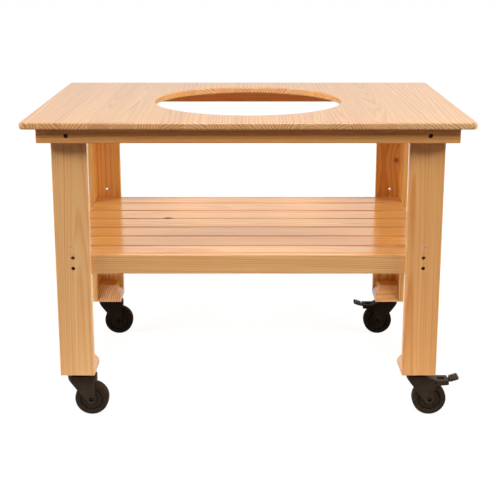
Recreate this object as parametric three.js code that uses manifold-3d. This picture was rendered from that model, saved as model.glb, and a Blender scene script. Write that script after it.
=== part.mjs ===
// Kamado grill table: a pine worktop with a round cut-out, carried by rails on L-shaped legs,
// with a slatted shelf between the legs and a swivel caster under each leg.
// Sizes are in millimetres. X runs to the right, Y to the back, Z up, and the floor is at Z = 0.

import * as THREE from 'three';
import Module from 'manifold-3d';
import { mergeVertices } from 'three/addons/utils/BufferGeometryUtils.js';
import { RoundedBoxGeometry } from 'three/addons/geometries/RoundedBoxGeometry.js';

// Worktop
const table_height = 860;
const top_length = 1200;
const top_depth = 800;
const top_thickness = 18;
const top_corner_radius = 13;
const top_edge_radius = 4;
const cutout_diameter = 553;

// Rails under the worktop
const top_end_overhang = 40;
const top_side_overhang = 20;
const rail_thickness = 32;
const rail_height = 40;

// Legs: each is a face board with a side board behind it
const leg_board_width = 96;
const leg_board_thickness = 18;
const board_edge_radius = 3;

// Blocks in the feet of the legs
const block_height = 50;
const block_bevel_run = 28;
const block_bevel_rise = 47;
const block_side_band = 18;

// Shelf
const shelf_height = 480;
const shelf_rail_height = 55;
const shelf_rail_thickness = 18;
const slat_thickness = 18;
const slat_gap = 3;
const full_slat_count = 5;
const end_slat_share = 0.727;
const batten_width = 18;

// Screws through the rails and bolts through the legs
const screw_head_diameter = 11.5;
const screw_head_height = 3;
const screw_sunk = 0.6;
const screw_shank_diameter = 5;
const screw_length = 45;
const bolt_row_hole_diameter = 11;
const bolt_row_pitch = 30;
const bolt_below_shelf_top = 34;
const bolt_row_count = 3;
const bolt_sunk = 4;
const bolt_length = 30;
const bolt_socket_width = 5;
const bolt_socket_depth = 4;

// Casters, set in from the outer faces of the legs
const caster_head_height = 34;
const caster_inset_x = 46;
const caster_inset_y = 40;
const caster_trail = 35;
const wheel_diameter = 96;
const wheel_width = 32;
const tyre_wall = 17;
const tyre_shoulder = 5;
const tyre_groove = 1;
const hub_recess = 1;
const hub_boss_diameter = 26;
const axle_diameter = 12;
const axle_sunk = 2;

// Caster fork, pressed from sheet: places are measured from the swivel's own axis and from the floor
const fork_gap = 36;
const fork_sheet = 3;
const crown_front = 31;
const crown_rear = 50;
const crown_corner_radius = 12;
const crown_drop = 11;
const crown_front_depth = 7;
const cheek_foot_radius = 13.8;
const cheek_rear_depth = 21;
const race_diameter = 52;
const race_foot_diameter = 46;
const race_height = 7.5;

// Threaded stem with its flange and the rivet that holds the fork
const stem_flange_diameter = 54;
const stem_flange_height = 3.2;
const stem_diameter = 12;
const stem_length = 30;
const stem_chamfer = 1.5;
const rivet_diameter = 12;
const rivet_head_diameter = 20;
const rivet_head_height = 4;

// Brake housing at the back of the braked forks
const housing_slope_start = 25;
const housing_slope_end = 54;
const housing_drop = 14;
const housing_end = 88;
const housing_rear_depth = 26;
const housing_middle_depth = 28;
const housing_middle_x = 68;
const housing_throat_x = 53;
const housing_throat_depth = 35;
const housing_window_length = 20;
const housing_window_width = 14;
const housing_window_start = 58;

// Brake pedal on its pin, with depths measured down from the top of the crown
const brake_pin_x = 50;
const brake_pin_depth = 19;
const brake_pin_diameter = 4.5;
const brake_pin_sunk = 1;
const brake_barrel_diameter = 6.4;
const brake_arm_width = 26;
const brake_arm_depth = 17.5;
const brake_arm_thickness = 5;
const brake_shoe_start = 58;
const brake_shoe_start_depth = 25.4;
const brake_shoe_end = 66;
const brake_shoe_end_depth = 27.8;
const pedal_start = 90;
const pedal_end = 117.5;
const pedal_start_depth = 15.5;
const pedal_rise = 9;
const pedal_width = 30;
const pedal_thickness = 9;
const pedal_corner_radius = 3;
const pedal_rib_height = 1.2;
const pedal_rib_count = 5;

// Fits and mesh steps
const seat_gap = 0.3;
const cut_overrun = 2;
const merge_distance = 0.0001;
const cutout_steps = 60;
const hole_steps = 14;
const wheel_steps = 32;
const hub_steps = 24;
const turned_steps = 16;
const arc_steps = 4;

// Colours
const pine_colour = 0xdcaa72;
const black_steel_colour = 0x2a2622;
const rubber_colour = 0x24201c;
const black_plastic_colour = 0x2c2723;

// Places worked out from the sizes
const top_underside = table_height - top_thickness;
const rail_outer_x = top_length / 2 - top_end_overhang;
const rail_outer_y = top_depth / 2 - top_side_overhang;
const leg_outer_x = rail_outer_x - rail_thickness;
const leg_outer_y = rail_outer_y - rail_thickness;
const leg_inner_x = leg_outer_x - leg_board_thickness;
const leg_inner_y = leg_outer_y - leg_board_thickness;
const caster_height = wheel_diameter + caster_head_height;
const leg_length = top_underside - caster_height;
const leg_centre_x = leg_outer_x - leg_board_width / 2;
const leg_side_depth = leg_board_width - leg_board_thickness;
const caster_x = leg_outer_x - caster_inset_x;
const caster_y = leg_outer_y - caster_inset_y;
const axle_height = wheel_diameter / 2;
const crown_top = caster_height - crown_drop;
const cheek_rear_low = crown_top - cheek_rear_depth;
const housing_top = crown_top - housing_drop;
const brake_pin_z = crown_top - brake_pin_depth;
const bolt_row_lowest = shelf_height - bolt_below_shelf_top;
const cheek_outer = fork_gap / 2 + fork_sheet;
const tyre_inner_radius = wheel_diameter / 2 - tyre_wall;
const axle_bore_radius = axle_diameter / 2 + seat_gap;

const wasm = await Module();
wasm.setup();

// Merges equal corners and drops the empty triangles that a turned shape has on its axis
function closed_mesh(geometry) {
  const bare = new THREE.BufferGeometry();
  bare.setAttribute('position', geometry.getAttribute('position'));
  bare.setIndex(geometry.getIndex());
  const merged = mergeVertices(bare, merge_distance);
  const index = merged.getIndex().array;
  const kept = [];
  for (let i = 0; i < index.length; i += 3) {
    const [a, b, c] = [index[i], index[i + 1], index[i + 2]];
    if (a !== b && b !== c && c !== a) kept.push(a, b, c);
  }
  merged.setIndex(kept);
  merged.computeVertexNormals();
  return merged;
}

function solid_of(geometry) {
  const merged = closed_mesh(geometry);
  const vertProperties = Float32Array.from(merged.getAttribute('position').array);
  const triVerts = Uint32Array.from(merged.getIndex().array);
  return new wasm.Manifold(new wasm.Mesh({ numProp: 3, vertProperties, triVerts }));
}

function geometry_of(solid) {
  const mesh = solid.getMesh();
  const geometry = new THREE.BufferGeometry();
  geometry.setAttribute('position', new THREE.BufferAttribute(Float32Array.from(mesh.vertProperties), 3));
  geometry.setIndex(new THREE.BufferAttribute(Uint32Array.from(mesh.triVerts), 1));
  const facets = geometry.toNonIndexed();
  facets.computeVertexNormals();
  return facets;
}

function join(first, ...others) {
  const solid = others.reduce((sum, other) => sum.add(solid_of(other)), solid_of(first));
  return geometry_of(solid);
}

function cut(body, ...tools) {
  const solid = tools.reduce((rest, tool) => rest.subtract(solid_of(tool)), solid_of(body));
  return geometry_of(solid);
}

function overlap_of(first, second) {
  return geometry_of(solid_of(first).intersect(solid_of(second)));
}

// A straight board with all its edges eased, centred on its own middle
function board(along_x, along_y, along_z) {
  return new RoundedBoxGeometry(along_x, along_y, along_z, 1, board_edge_radius);
}

function rod_along_y(diameter, from_y, to_y, x, z, steps = hole_steps) {
  const rod = new THREE.CylinderGeometry(diameter / 2, diameter / 2, to_y - from_y, steps);
  rod.translate(x, (from_y + to_y) / 2, z);
  return rod;
}

function rod_along_z(diameter, from_z, to_z, x, y, steps = hole_steps) {
  const rod = new THREE.CylinderGeometry(diameter / 2, diameter / 2, to_z - from_z, steps);
  rod.rotateX(Math.PI / 2);
  rod.translate(x, y, (from_z + to_z) / 2);
  return rod;
}

function slab(points, thickness) {
  const outline = new THREE.Shape(points.map(([across, up]) => new THREE.Vector2(across, up)));
  return new THREE.ExtrudeGeometry(outline, { depth: thickness, bevelEnabled: false });
}

// An outline in X and Z, pushed along Y between two places
function slab_along_y(points, from_y, to_y) {
  const body = slab(points, to_y - from_y);
  body.rotateX(Math.PI / 2);
  body.translate(0, to_y, 0);
  return body;
}

// An outline in Y and Z, pushed along X between two places
function slab_along_x(points, from_x, to_x) {
  const body = slab(points, to_x - from_x);
  const turn = new THREE.Matrix4().makeBasis(
    new THREE.Vector3(0, 1, 0), new THREE.Vector3(0, 0, 1), new THREE.Vector3(1, 0, 0));
  body.applyMatrix4(turn);
  body.translate(from_x, 0, 0);
  return body;
}

// An outline in X and Y, raised along Z between two places
function prism_along_z(outline, from_z, to_z) {
  const body = new THREE.ExtrudeGeometry(outline, {
    depth: to_z - from_z, bevelEnabled: false, curveSegments: arc_steps,
  });
  body.translate(0, 0, from_z);
  return body;
}

// A profile of radius and height turned about the Z axis
function turned_about_z(profile, steps = turned_steps) {
  const turned = new THREE.LatheGeometry(profile.map(([r, z]) => new THREE.Vector2(r, z)), steps);
  turned.rotateX(Math.PI / 2);
  return turned;
}

function turned_about_y(profile, steps = turned_steps) {
  return new THREE.LatheGeometry(profile.map(([r, y]) => new THREE.Vector2(r, y)), steps);
}

function rounded_outline(left, right, half_depth, radius) {
  const outline = new THREE.Shape();
  outline.moveTo(left + radius, -half_depth);
  outline.lineTo(right - radius, -half_depth);
  outline.absarc(right - radius, -half_depth + radius, radius, -Math.PI / 2, 0);
  outline.lineTo(right, half_depth - radius);
  outline.absarc(right - radius, half_depth - radius, radius, 0, Math.PI / 2);
  outline.lineTo(left + radius, half_depth);
  outline.absarc(left + radius, half_depth - radius, radius, Math.PI / 2, Math.PI);
  outline.lineTo(left, -half_depth + radius);
  outline.absarc(left + radius, -half_depth + radius, radius, Math.PI, 1.5 * Math.PI);
  outline.closePath();
  return outline;
}

function wood() {
  return new THREE.MeshStandardMaterial({ color: pine_colour, roughness: 0.45, metalness: 0 });
}

function black_steel() {
  return new THREE.MeshStandardMaterial({ color: black_steel_colour, roughness: 0.5, metalness: 0.6 });
}

function rubber() {
  return new THREE.MeshStandardMaterial({ color: rubber_colour, roughness: 0.7, metalness: 0 });
}

function black_plastic() {
  return new THREE.MeshStandardMaterial({ color: black_plastic_colour, roughness: 0.5, metalness: 0 });
}

function add_piece(parent, name, geometry, material, place = [0, 0, 0]) {
  const mesh = new THREE.Mesh(geometry, material);
  mesh.name = name;
  mesh.position.set(...place);
  parent.add(mesh);
  return mesh;
}

// Worktop with rounded edges all round and in the cut-out
function worktop() {
  const rounded = rounded_outline(-top_length / 2, top_length / 2, top_depth / 2, top_corner_radius);
  const outline = new THREE.Shape(rounded.getPoints(arc_steps));
  const cutout = new THREE.Path();
  cutout.absarc(0, 0, cutout_diameter / 2, 0, 2 * Math.PI);
  outline.holes.push(new THREE.Path(cutout.getPoints(cutout_steps / 2)));
  const top = new THREE.ExtrudeGeometry(outline, {
    depth: top_thickness - 2 * top_edge_radius,
    bevelThickness: top_edge_radius,
    bevelSize: top_edge_radius,
    bevelOffset: -top_edge_radius,
    bevelSegments: 2,
  });
  top.translate(0, 0, top_underside + top_edge_radius);
  return top;
}

// Front and back rails are screwed to the face boards of the legs
function long_rail(side_y) {
  const rail = board(2 * rail_outer_x, rail_thickness, rail_height);
  const outer_y = side_y * rail_thickness / 2;
  const tools = [];
  for (const side_x of [-1, 1]) {
    const head_seat = outer_y - side_y * (screw_sunk + screw_head_height + seat_gap);
    const past_face = outer_y + side_y * cut_overrun;
    const past_back = -outer_y - side_y * cut_overrun;
    const head_ends = [head_seat, past_face].sort((a, b) => a - b);
    const shank_ends = [past_back, past_face].sort((a, b) => a - b);
    const x = side_x * leg_centre_x;
    tools.push(rod_along_y(screw_head_diameter + 2 * seat_gap, ...head_ends, x, 0));
    tools.push(rod_along_y(screw_shank_diameter + 2 * seat_gap, ...shank_ends, x, 0));
  }
  return cut(rail, ...tools);
}

// Face board of a leg, with the row of shelf holes and the blind hole for the rail screw
function leg_face_board(side_y) {
  const face = board(leg_board_width, leg_board_thickness, leg_length);
  const middle_z = caster_height + leg_length / 2;
  const half = leg_board_thickness / 2 + cut_overrun;
  const tools = [];
  for (let row = 0; row < bolt_row_count; row += 1) {
    const z = bolt_row_lowest + row * bolt_row_pitch - middle_z;
    tools.push(rod_along_y(bolt_row_hole_diameter, -half, half, 0, z));
  }
  const screw_z = top_underside - rail_height / 2 - middle_z;
  const screw_tip = screw_sunk + screw_length + seat_gap - rail_thickness;
  const blind_ends = [side_y * half, side_y * (leg_board_thickness / 2 - screw_tip)].sort((a, b) => a - b);
  tools.push(rod_along_y(screw_shank_diameter + 2 * seat_gap, ...blind_ends, 0, screw_z));
  return cut(face, ...tools);
}

// Block in the inner corner of a leg, bevelled on its two free sides and bored for the caster stem
function foot_block(side_x, side_y) {
  const slope = block_bevel_run / block_bevel_rise;
  const lip = block_height - block_bevel_rise;
  const side_run = (block_height - block_side_band) * slope;
  const block_x = leg_board_width - leg_board_thickness;
  const block_y = leg_side_depth;
  const profile_x = [[0, 0], [block_x, 0], [block_x, block_side_band], [block_x - side_run, block_height],
    [0, block_height]].map(([x, z]) => [-side_x * x, z]);
  const profile_y = [[0, 0], [block_y, 0], [block_y, lip], [block_y - block_bevel_run, block_height],
    [0, block_height]].map(([y, z]) => [-side_y * y, z]);
  const ends_x = [0, -side_x * block_x].sort((a, b) => a - b);
  const ends_y = [0, -side_y * block_y].sort((a, b) => a - b);
  const block = overlap_of(slab_along_y(profile_x, ...ends_y), slab_along_x(profile_y, ...ends_x));
  const stem_x = side_x * (caster_x - leg_inner_x);
  const stem_y = side_y * (caster_y - leg_inner_y);
  const bore = stem_diameter + 2 * seat_gap;
  return cut(block, rod_along_z(bore, -cut_overrun, stem_length + seat_gap, stem_x, stem_y));
}

// Countersunk rail screw with its head outside, pointing along Y into the table
function rail_screw() {
  const head_radius = screw_head_diameter / 2;
  const shank_radius = screw_shank_diameter / 2;
  return closed_mesh(turned_about_y([
    [0, -screw_length],
    [shank_radius / 2, -screw_length],
    [shank_radius, -screw_length + screw_shank_diameter],
    [shank_radius, -screw_head_height],
    [head_radius, -screw_head_height],
    [head_radius, -screw_sunk],
    [head_radius - screw_sunk, 0],
    [0, 0],
  ], hole_steps));
}

// Headless shelf bolt with a socket in its outer end
function shelf_bolt() {
  const radius = bolt_row_hole_diameter / 2 - seat_gap;
  const body = closed_mesh(turned_about_y([
    [0, -bolt_length],
    [radius - seat_gap, -bolt_length],
    [radius, seat_gap - bolt_length],
    [radius, 0],
    [0, 0],
  ], hole_steps));
  const socket = new THREE.CylinderGeometry(bolt_socket_width / 2, bolt_socket_width / 2,
    2 * bolt_socket_depth, 6);
  return cut(body, socket);
}

// Shelf rails carry the shelf on the bolts through the legs
function shelf_rail(side_y) {
  const rail = board(2 * leg_inner_x, shelf_rail_thickness, shelf_rail_height);
  const hole_z = bolt_row_lowest - (shelf_height - shelf_rail_height / 2);
  const reach = bolt_sunk + bolt_length - leg_board_thickness + seat_gap;
  const outer = shelf_rail_thickness / 2;
  const ends = [side_y * (outer + cut_overrun), side_y * (outer - reach)].sort((a, b) => a - b);
  const holes_x = [-leg_centre_x, leg_centre_x];
  return cut(rail, ...holes_x.map((x) => rod_along_y(bolt_row_hole_diameter, ...ends, x, hole_z)));
}

// Threaded stem: flange, screwed shank above it and the rivet that the fork turns on below it
function caster_stem() {
  const flange_low = caster_height - stem_flange_height;
  const rivet_top = crown_top - fork_sheet - seat_gap;
  return closed_mesh(turned_about_z([
    [0, rivet_top - rivet_head_height],
    [rivet_head_diameter / 2, rivet_top - rivet_head_height],
    [rivet_head_diameter / 2, rivet_top],
    [rivet_diameter / 2, rivet_top],
    [rivet_diameter / 2, flange_low],
    [stem_flange_diameter / 2, flange_low],
    [stem_flange_diameter / 2, caster_height],
    [stem_diameter / 2, caster_height],
    [stem_diameter / 2, caster_height + stem_length - stem_chamfer],
    [stem_diameter / 2 - stem_chamfer, caster_height + stem_length],
    [0, caster_height + stem_length],
  ]));
}

function arc_points(centre_x, centre_z, radius, from_angle, to_angle) {
  const points = [];
  for (let i = 0; i <= arc_steps; i += 1) {
    const angle = from_angle + (to_angle - from_angle) * i / arc_steps;
    points.push([centre_x + radius * Math.cos(angle), centre_z + radius * Math.sin(angle)]);
  }
  return points;
}

// Roof line of the fork from front to back, lowered by a drop for its inner side
function fork_roof(braked, drop, end) {
  const top = crown_top - drop;
  if (!braked) return [[-crown_front, top], [end, top]];
  const low_top = housing_top - drop;
  return [[-crown_front, top], [housing_slope_start, top], [housing_slope_end, low_top], [end, low_top]];
}

// Side view of the fork: the front edge runs straight down onto the round foot at the axle
function fork_side(braked) {
  const fall_x = caster_trail + crown_front;
  const crown_front_low = crown_top - crown_front_depth;
  const fall_z = crown_front_low - axle_height;
  const reach = Math.hypot(fall_x, fall_z);
  const tangent = Math.atan2(-fall_z, fall_x) - Math.asin(cheek_foot_radius / reach) - Math.PI / 2;
  const foot = arc_points(caster_trail, axle_height, cheek_foot_radius, tangent, 0);
  const plain_rear = [
    [caster_trail + cheek_foot_radius, cheek_rear_low],
    [crown_rear, cheek_rear_low + fork_sheet],
  ];
  const braked_rear = [
    [housing_throat_x, crown_top - housing_throat_depth],
    [housing_middle_x, crown_top - housing_middle_depth],
    [housing_end, crown_top - housing_rear_depth],
  ];
  const rear = braked ? braked_rear : plain_rear;
  const roof = fork_roof(braked, 0, braked ? housing_end : crown_rear);
  return [[-crown_front, crown_front_low], ...foot, ...rear, ...roof.reverse()];
}

// Pressed fork with a raised race under the flange; the braked one runs on into a housing for the pedal
function caster_fork(braked) {
  const low = axle_height - cheek_foot_radius - cut_overrun;
  const end = braked ? housing_end + crown_corner_radius : crown_rear;
  const plan = rounded_outline(-crown_front, end, cheek_outer, crown_corner_radius);
  const shell = overlap_of(prism_along_z(plan, low, crown_top + cut_overrun),
    slab_along_y(fork_side(braked), -cheek_outer - cut_overrun, cheek_outer + cut_overrun));
  const inner_end = braked ? end : crown_rear - fork_sheet;
  const inner_plan = rounded_outline(fork_sheet - crown_front, inner_end, fork_gap / 2,
    crown_corner_radius - fork_sheet);
  const roof = fork_roof(braked, fork_sheet, end + cut_overrun);
  const floor_z = low - cut_overrun;
  const below_roof = [[-crown_front, floor_z], [end + cut_overrun, floor_z], ...roof.reverse()];
  const hollow = overlap_of(prism_along_z(inner_plan, low - cut_overrun, crown_top),
    slab_along_y(below_roof, -fork_gap, fork_gap));
  const behind = end + cut_overrun;
  const wheel_space = slab_along_y([[-behind, low - cut_overrun], [behind, low - cut_overrun],
    [behind, cheek_rear_low], [-behind, cheek_rear_low]], -fork_gap / 2, fork_gap / 2);
  const race = turned_about_z([
    [0, crown_top - fork_sheet / 2],
    [race_foot_diameter / 2, crown_top - fork_sheet / 2],
    [race_foot_diameter / 2, crown_top],
    [race_diameter / 2, crown_top + race_height / 2],
    [race_diameter / 2, crown_top + race_height],
    [0, crown_top + race_height],
  ]);
  const fork = join(cut(shell, hollow, wheel_space), race);
  const far = cheek_outer + cut_overrun;
  const tools = [
    rod_along_z(rivet_diameter + 2 * seat_gap, axle_height, caster_height, 0, 0, turned_steps),
    rod_along_y(2 * axle_bore_radius, -far, far, caster_trail, axle_height),
  ];
  if (braked) {
    tools.push(housing_window());
    tools.push(rod_along_y(brake_pin_diameter + 2 * seat_gap, -far, far, brake_pin_x, brake_pin_z));
  }
  return cut(fork, ...tools);
}

function housing_window() {
  const plan = rounded_outline(housing_window_start, housing_window_start + housing_window_length,
    housing_window_width / 2, fork_sheet);
  return prism_along_z(plan, housing_top - 2 * fork_sheet, crown_top);
}

// Tyre with rounded shoulders, standing on one of its flats
function caster_tyre() {
  const outer = wheel_diameter / 2 / Math.cos(Math.PI / wheel_steps);
  const half = wheel_width / 2;
  const tyre = turned_about_y([
    [tyre_inner_radius, tyre_groove - half],
    [tyre_inner_radius + tyre_groove, -half],
    [outer - tyre_shoulder, -half],
    [outer - tyre_shoulder / 4, tyre_shoulder - half],
    [outer, 0],
    [outer - tyre_shoulder / 4, half - tyre_shoulder],
    [outer - tyre_shoulder, half],
    [tyre_inner_radius + tyre_groove, half],
    [tyre_inner_radius, half - tyre_groove],
    [tyre_inner_radius, tyre_groove - half],
  ], wheel_steps);
  tyre.rotateY(Math.PI / wheel_steps);
  return closed_mesh(tyre);
}

// Hub: a disc in the tyre with a boss that runs between the cheeks
function caster_hub() {
  const rim = (tyre_inner_radius - seat_gap) * Math.cos(Math.PI / wheel_steps);
  const half = wheel_width / 2 - hub_recess;
  const boss = fork_gap / 2 - seat_gap;
  const boss_radius = hub_boss_diameter / 2;
  const hub = turned_about_y([
    [axle_bore_radius, -boss],
    [boss_radius, -boss],
    [boss_radius, -half],
    [rim - tyre_groove, -half],
    [rim, tyre_groove - half],
    [rim, half - tyre_groove],
    [rim - tyre_groove, half],
    [boss_radius, half],
    [boss_radius, boss],
    [axle_bore_radius, boss],
    [axle_bore_radius, -boss],
  ], hub_steps);
  return closed_mesh(hub);
}

function caster_axle() {
  const end = cheek_outer - axle_sunk;
  return rod_along_y(axle_diameter, -end, end, 0, 0);
}

// Brake pedal: pin and barrel, shoe over the tyre, arm and ribbed tread
function brake_pedal() {
  const barrel_half = fork_gap / 2 - seat_gap;
  const pin_half = cheek_outer - brake_pin_sunk;
  const arm_half = brake_arm_width / 2;
  const barrel_radius = brake_barrel_diameter / 2;
  const arm_end = pedal_start + pedal_corner_radius;
  const arm_top = crown_top - brake_arm_depth;
  const arm_low = arm_top - brake_arm_thickness;
  const arm = slab_along_y([
    [brake_pin_x, brake_pin_z - barrel_radius],
    [brake_shoe_start, crown_top - brake_shoe_start_depth],
    [brake_shoe_end, crown_top - brake_shoe_end_depth],
    [brake_shoe_end, arm_low],
    [arm_end, arm_low + pedal_corner_radius],
    [arm_end, arm_top],
    [brake_pin_x, arm_top],
  ], -arm_half, arm_half);
  const pieces = [
    rod_along_y(brake_pin_diameter, -pin_half, pin_half, brake_pin_x, brake_pin_z),
    arm,
    pedal_tread(),
  ];
  const barrel = rod_along_y(brake_barrel_diameter, -barrel_half, barrel_half, brake_pin_x, brake_pin_z);
  const pedal = join(barrel, ...pieces);
  pedal.translate(-brake_pin_x, 0, -brake_pin_z);
  return pedal;
}

// Tread with ribs across its upper side, rising to its tip
function pedal_tread() {
  const length = pedal_end - pedal_start;
  const half = pedal_thickness / 2;
  const start_z = crown_top - pedal_start_depth;
  const middle_z = (x) => start_z + pedal_rise * (x - pedal_start) / length;
  const inner_start = pedal_start + pedal_corner_radius;
  const inner_end = pedal_end - pedal_corner_radius;
  const half_pitch = (inner_end - inner_start) / (2 * pedal_rib_count);
  const upper = [];
  for (let i = 0; i <= 2 * pedal_rib_count; i += 1) {
    const x = inner_start + half_pitch * i;
    upper.push([x, middle_z(x) + half - (i % 2) * pedal_rib_height]);
  }
  const outline = [
    [pedal_start, middle_z(pedal_start) - half + pedal_corner_radius],
    [inner_start, middle_z(inner_start) - half],
    [inner_end, middle_z(inner_end) - half],
    [pedal_end, middle_z(pedal_end) - half + pedal_corner_radius],
    [pedal_end, middle_z(pedal_end) + half - pedal_corner_radius],
    ...upper.reverse(),
    [pedal_start, middle_z(pedal_start) + half - pedal_corner_radius],
  ];
  return slab_along_y(outline, -pedal_width / 2, pedal_width / 2);
}

// The turning pieces of one caster, measured from its swivel axis
function caster(corner, side_x, side_y, braked, half_turns) {
  const group = new THREE.Group();
  group.position.set(side_x * caster_x, side_y * caster_y, 0);
  group.rotation.z = half_turns * Math.PI;
  const wheel_place = [caster_trail, 0, axle_height];
  add_piece(group, `${corner}_caster_fork`, caster_fork(braked), black_steel());
  add_piece(group, `${corner}_caster_tyre`, caster_tyre(), rubber(), wheel_place);
  add_piece(group, `${corner}_caster_hub`, caster_hub(), black_plastic(), wheel_place);
  add_piece(group, `${corner}_caster_axle`, caster_axle(), black_steel(), wheel_place);
  if (braked) {
    const pin_place = [brake_pin_x, 0, brake_pin_z];
    add_piece(group, `${corner}_brake_pedal`, brake_pedal(), black_plastic(), pin_place);
  }
  return group;
}

// One leg with its block, screw and shelf bolt
function leg(corner, side_x, side_y) {
  const group = new THREE.Group();
  const middle_z = caster_height + leg_length / 2;
  const face_y = side_y * (leg_outer_y - leg_board_thickness / 2);
  add_piece(group, `${corner}_leg_face_board`, leg_face_board(side_y), wood(),
    [side_x * leg_centre_x, face_y, middle_z]);
  const side_board = board(leg_board_thickness, leg_side_depth, leg_length);
  const side_x_place = side_x * (leg_outer_x - leg_board_thickness / 2);
  add_piece(group, `${corner}_leg_side_board`, side_board, wood(),
    [side_x_place, side_y * (leg_inner_y - leg_side_depth / 2), middle_z]);
  add_piece(group, `${corner}_foot_block`, foot_block(side_x, side_y), wood(),
    [side_x * leg_inner_x, side_y * leg_inner_y, caster_height]);
  add_piece(group, `${corner}_caster_stem`, caster_stem(), black_steel(),
    [side_x * caster_x, side_y * caster_y, 0]);
  const screw = add_piece(group, `${corner}_rail_screw`, rail_screw(), black_steel(),
    [side_x * leg_centre_x, side_y * (rail_outer_y - screw_sunk), top_underside - rail_height / 2]);
  const bolt = add_piece(group, `${corner}_shelf_bolt`, shelf_bolt(), black_steel(),
    [side_x * leg_centre_x, side_y * (leg_outer_y - bolt_sunk), bolt_row_lowest]);
  if (side_y < 0) {
    screw.rotation.z = Math.PI;
    bolt.rotation.z = Math.PI;
  }
  return group;
}

// Rails, worktop and shelf
function frame() {
  const group = new THREE.Group();
  add_piece(group, 'table_top', worktop(), wood());
  const rail_z = top_underside - rail_height / 2;
  for (const [name, side_y] of [['front_rail', -1], ['back_rail', 1]]) {
    const rail_y = side_y * (rail_outer_y - rail_thickness / 2);
    add_piece(group, name, long_rail(side_y), wood(), [0, rail_y, rail_z]);
  }
  for (const [name, side_x] of [['left_rail', -1], ['right_rail', 1]]) {
    const side_rail = board(rail_thickness, 2 * leg_outer_y, rail_height);
    add_piece(group, name, side_rail, wood(), [side_x * (leg_outer_x + rail_thickness / 2), 0, rail_z]);
  }
  return group;
}

function shelf() {
  const group = new THREE.Group();
  const rail_z = shelf_height - shelf_rail_height / 2;
  for (const [name, side_y] of [['shelf_front_rail', -1], ['shelf_back_rail', 1]]) {
    add_piece(group, name, shelf_rail(side_y), wood(),
      [0, side_y * (leg_inner_y - shelf_rail_thickness / 2), rail_z]);
  }
  const slat_z = shelf_height - slat_thickness / 2;
  const bay_half = leg_inner_y - shelf_rail_thickness;
  const wood_depth = 2 * bay_half - (full_slat_count + 1) * slat_gap;
  const slat_width = wood_depth / (full_slat_count + 2 * end_slat_share);
  const pitch = slat_width + slat_gap;
  const end_slat_width = slat_width * end_slat_share;
  const end_slat_y = bay_half - end_slat_width / 2;
  const slats = [[-end_slat_y, end_slat_width]];
  const first_y = -(full_slat_count - 1) * pitch / 2;
  for (let i = 0; i < full_slat_count; i += 1) slats.push([first_y + i * pitch, slat_width]);
  slats.push([end_slat_y, end_slat_width]);
  slats.forEach(([y, width], i) => {
    const slat = board(2 * leg_inner_x, width, slat_thickness);
    add_piece(group, `shelf_slat_${i + 1}`, slat, wood(), [0, y, slat_z]);
  });
  const batten_height = shelf_rail_height - slat_thickness;
  const batten_z = shelf_height - slat_thickness - batten_height / 2;
  const end_batten_x = leg_inner_x - batten_width / 2;
  for (const [name, x] of [['shelf_batten_left', -end_batten_x], ['shelf_batten_middle', 0],
    ['shelf_batten_right', end_batten_x]]) {
    add_piece(group, name, board(batten_width, 2 * bay_half, batten_height), wood(), [x, 0, batten_z]);
  }
  return group;
}

const group = new THREE.Group();
group.add(frame());
group.add(shelf());
const corners = [
  { name: 'front_left', side_x: -1, side_y: -1, braked: false, half_turns: 0 },
  { name: 'front_right', side_x: 1, side_y: -1, braked: true, half_turns: 0 },
  { name: 'back_left', side_x: -1, side_y: 1, braked: false, half_turns: 0 },
  { name: 'back_right', side_x: 1, side_y: 1, braked: true, half_turns: 1 },
];
for (const { name, side_x, side_y, braked, half_turns } of corners) {
  group.add(leg(name, side_x, side_y));
  group.add(caster(name, side_x, side_y, braked, half_turns));
}

export default group;
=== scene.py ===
"""Looks of the kamado grill table. Lengths are in metres: X to the right, Y to the back, Z up."""
import math
import random

import bmesh
import bpy
import numpy as np
from mathutils import Matrix, Vector


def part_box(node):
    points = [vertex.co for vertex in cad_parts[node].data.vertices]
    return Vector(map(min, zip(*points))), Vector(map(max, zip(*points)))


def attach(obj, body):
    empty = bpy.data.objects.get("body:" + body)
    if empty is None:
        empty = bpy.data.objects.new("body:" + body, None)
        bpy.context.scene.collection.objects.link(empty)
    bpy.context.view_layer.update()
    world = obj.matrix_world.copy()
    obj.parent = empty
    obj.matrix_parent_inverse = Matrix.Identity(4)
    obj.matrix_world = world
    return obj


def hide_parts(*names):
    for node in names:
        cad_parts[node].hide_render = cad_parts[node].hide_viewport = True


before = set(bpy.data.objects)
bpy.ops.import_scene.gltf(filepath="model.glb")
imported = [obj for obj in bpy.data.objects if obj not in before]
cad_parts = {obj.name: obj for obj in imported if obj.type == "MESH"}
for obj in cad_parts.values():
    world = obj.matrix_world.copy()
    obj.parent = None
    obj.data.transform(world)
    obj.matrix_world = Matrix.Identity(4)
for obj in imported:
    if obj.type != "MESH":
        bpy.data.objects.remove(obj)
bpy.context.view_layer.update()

# Places of the four corners: side in X, side in Y, brake, half turns of the caster
CORNERS = {
    "front_left": (-1, -1, False, 0),
    "front_right": (1, -1, True, 0),
    "back_left": (-1, 1, False, 0),
    "back_right": (1, 1, True, 1),
}

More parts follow.
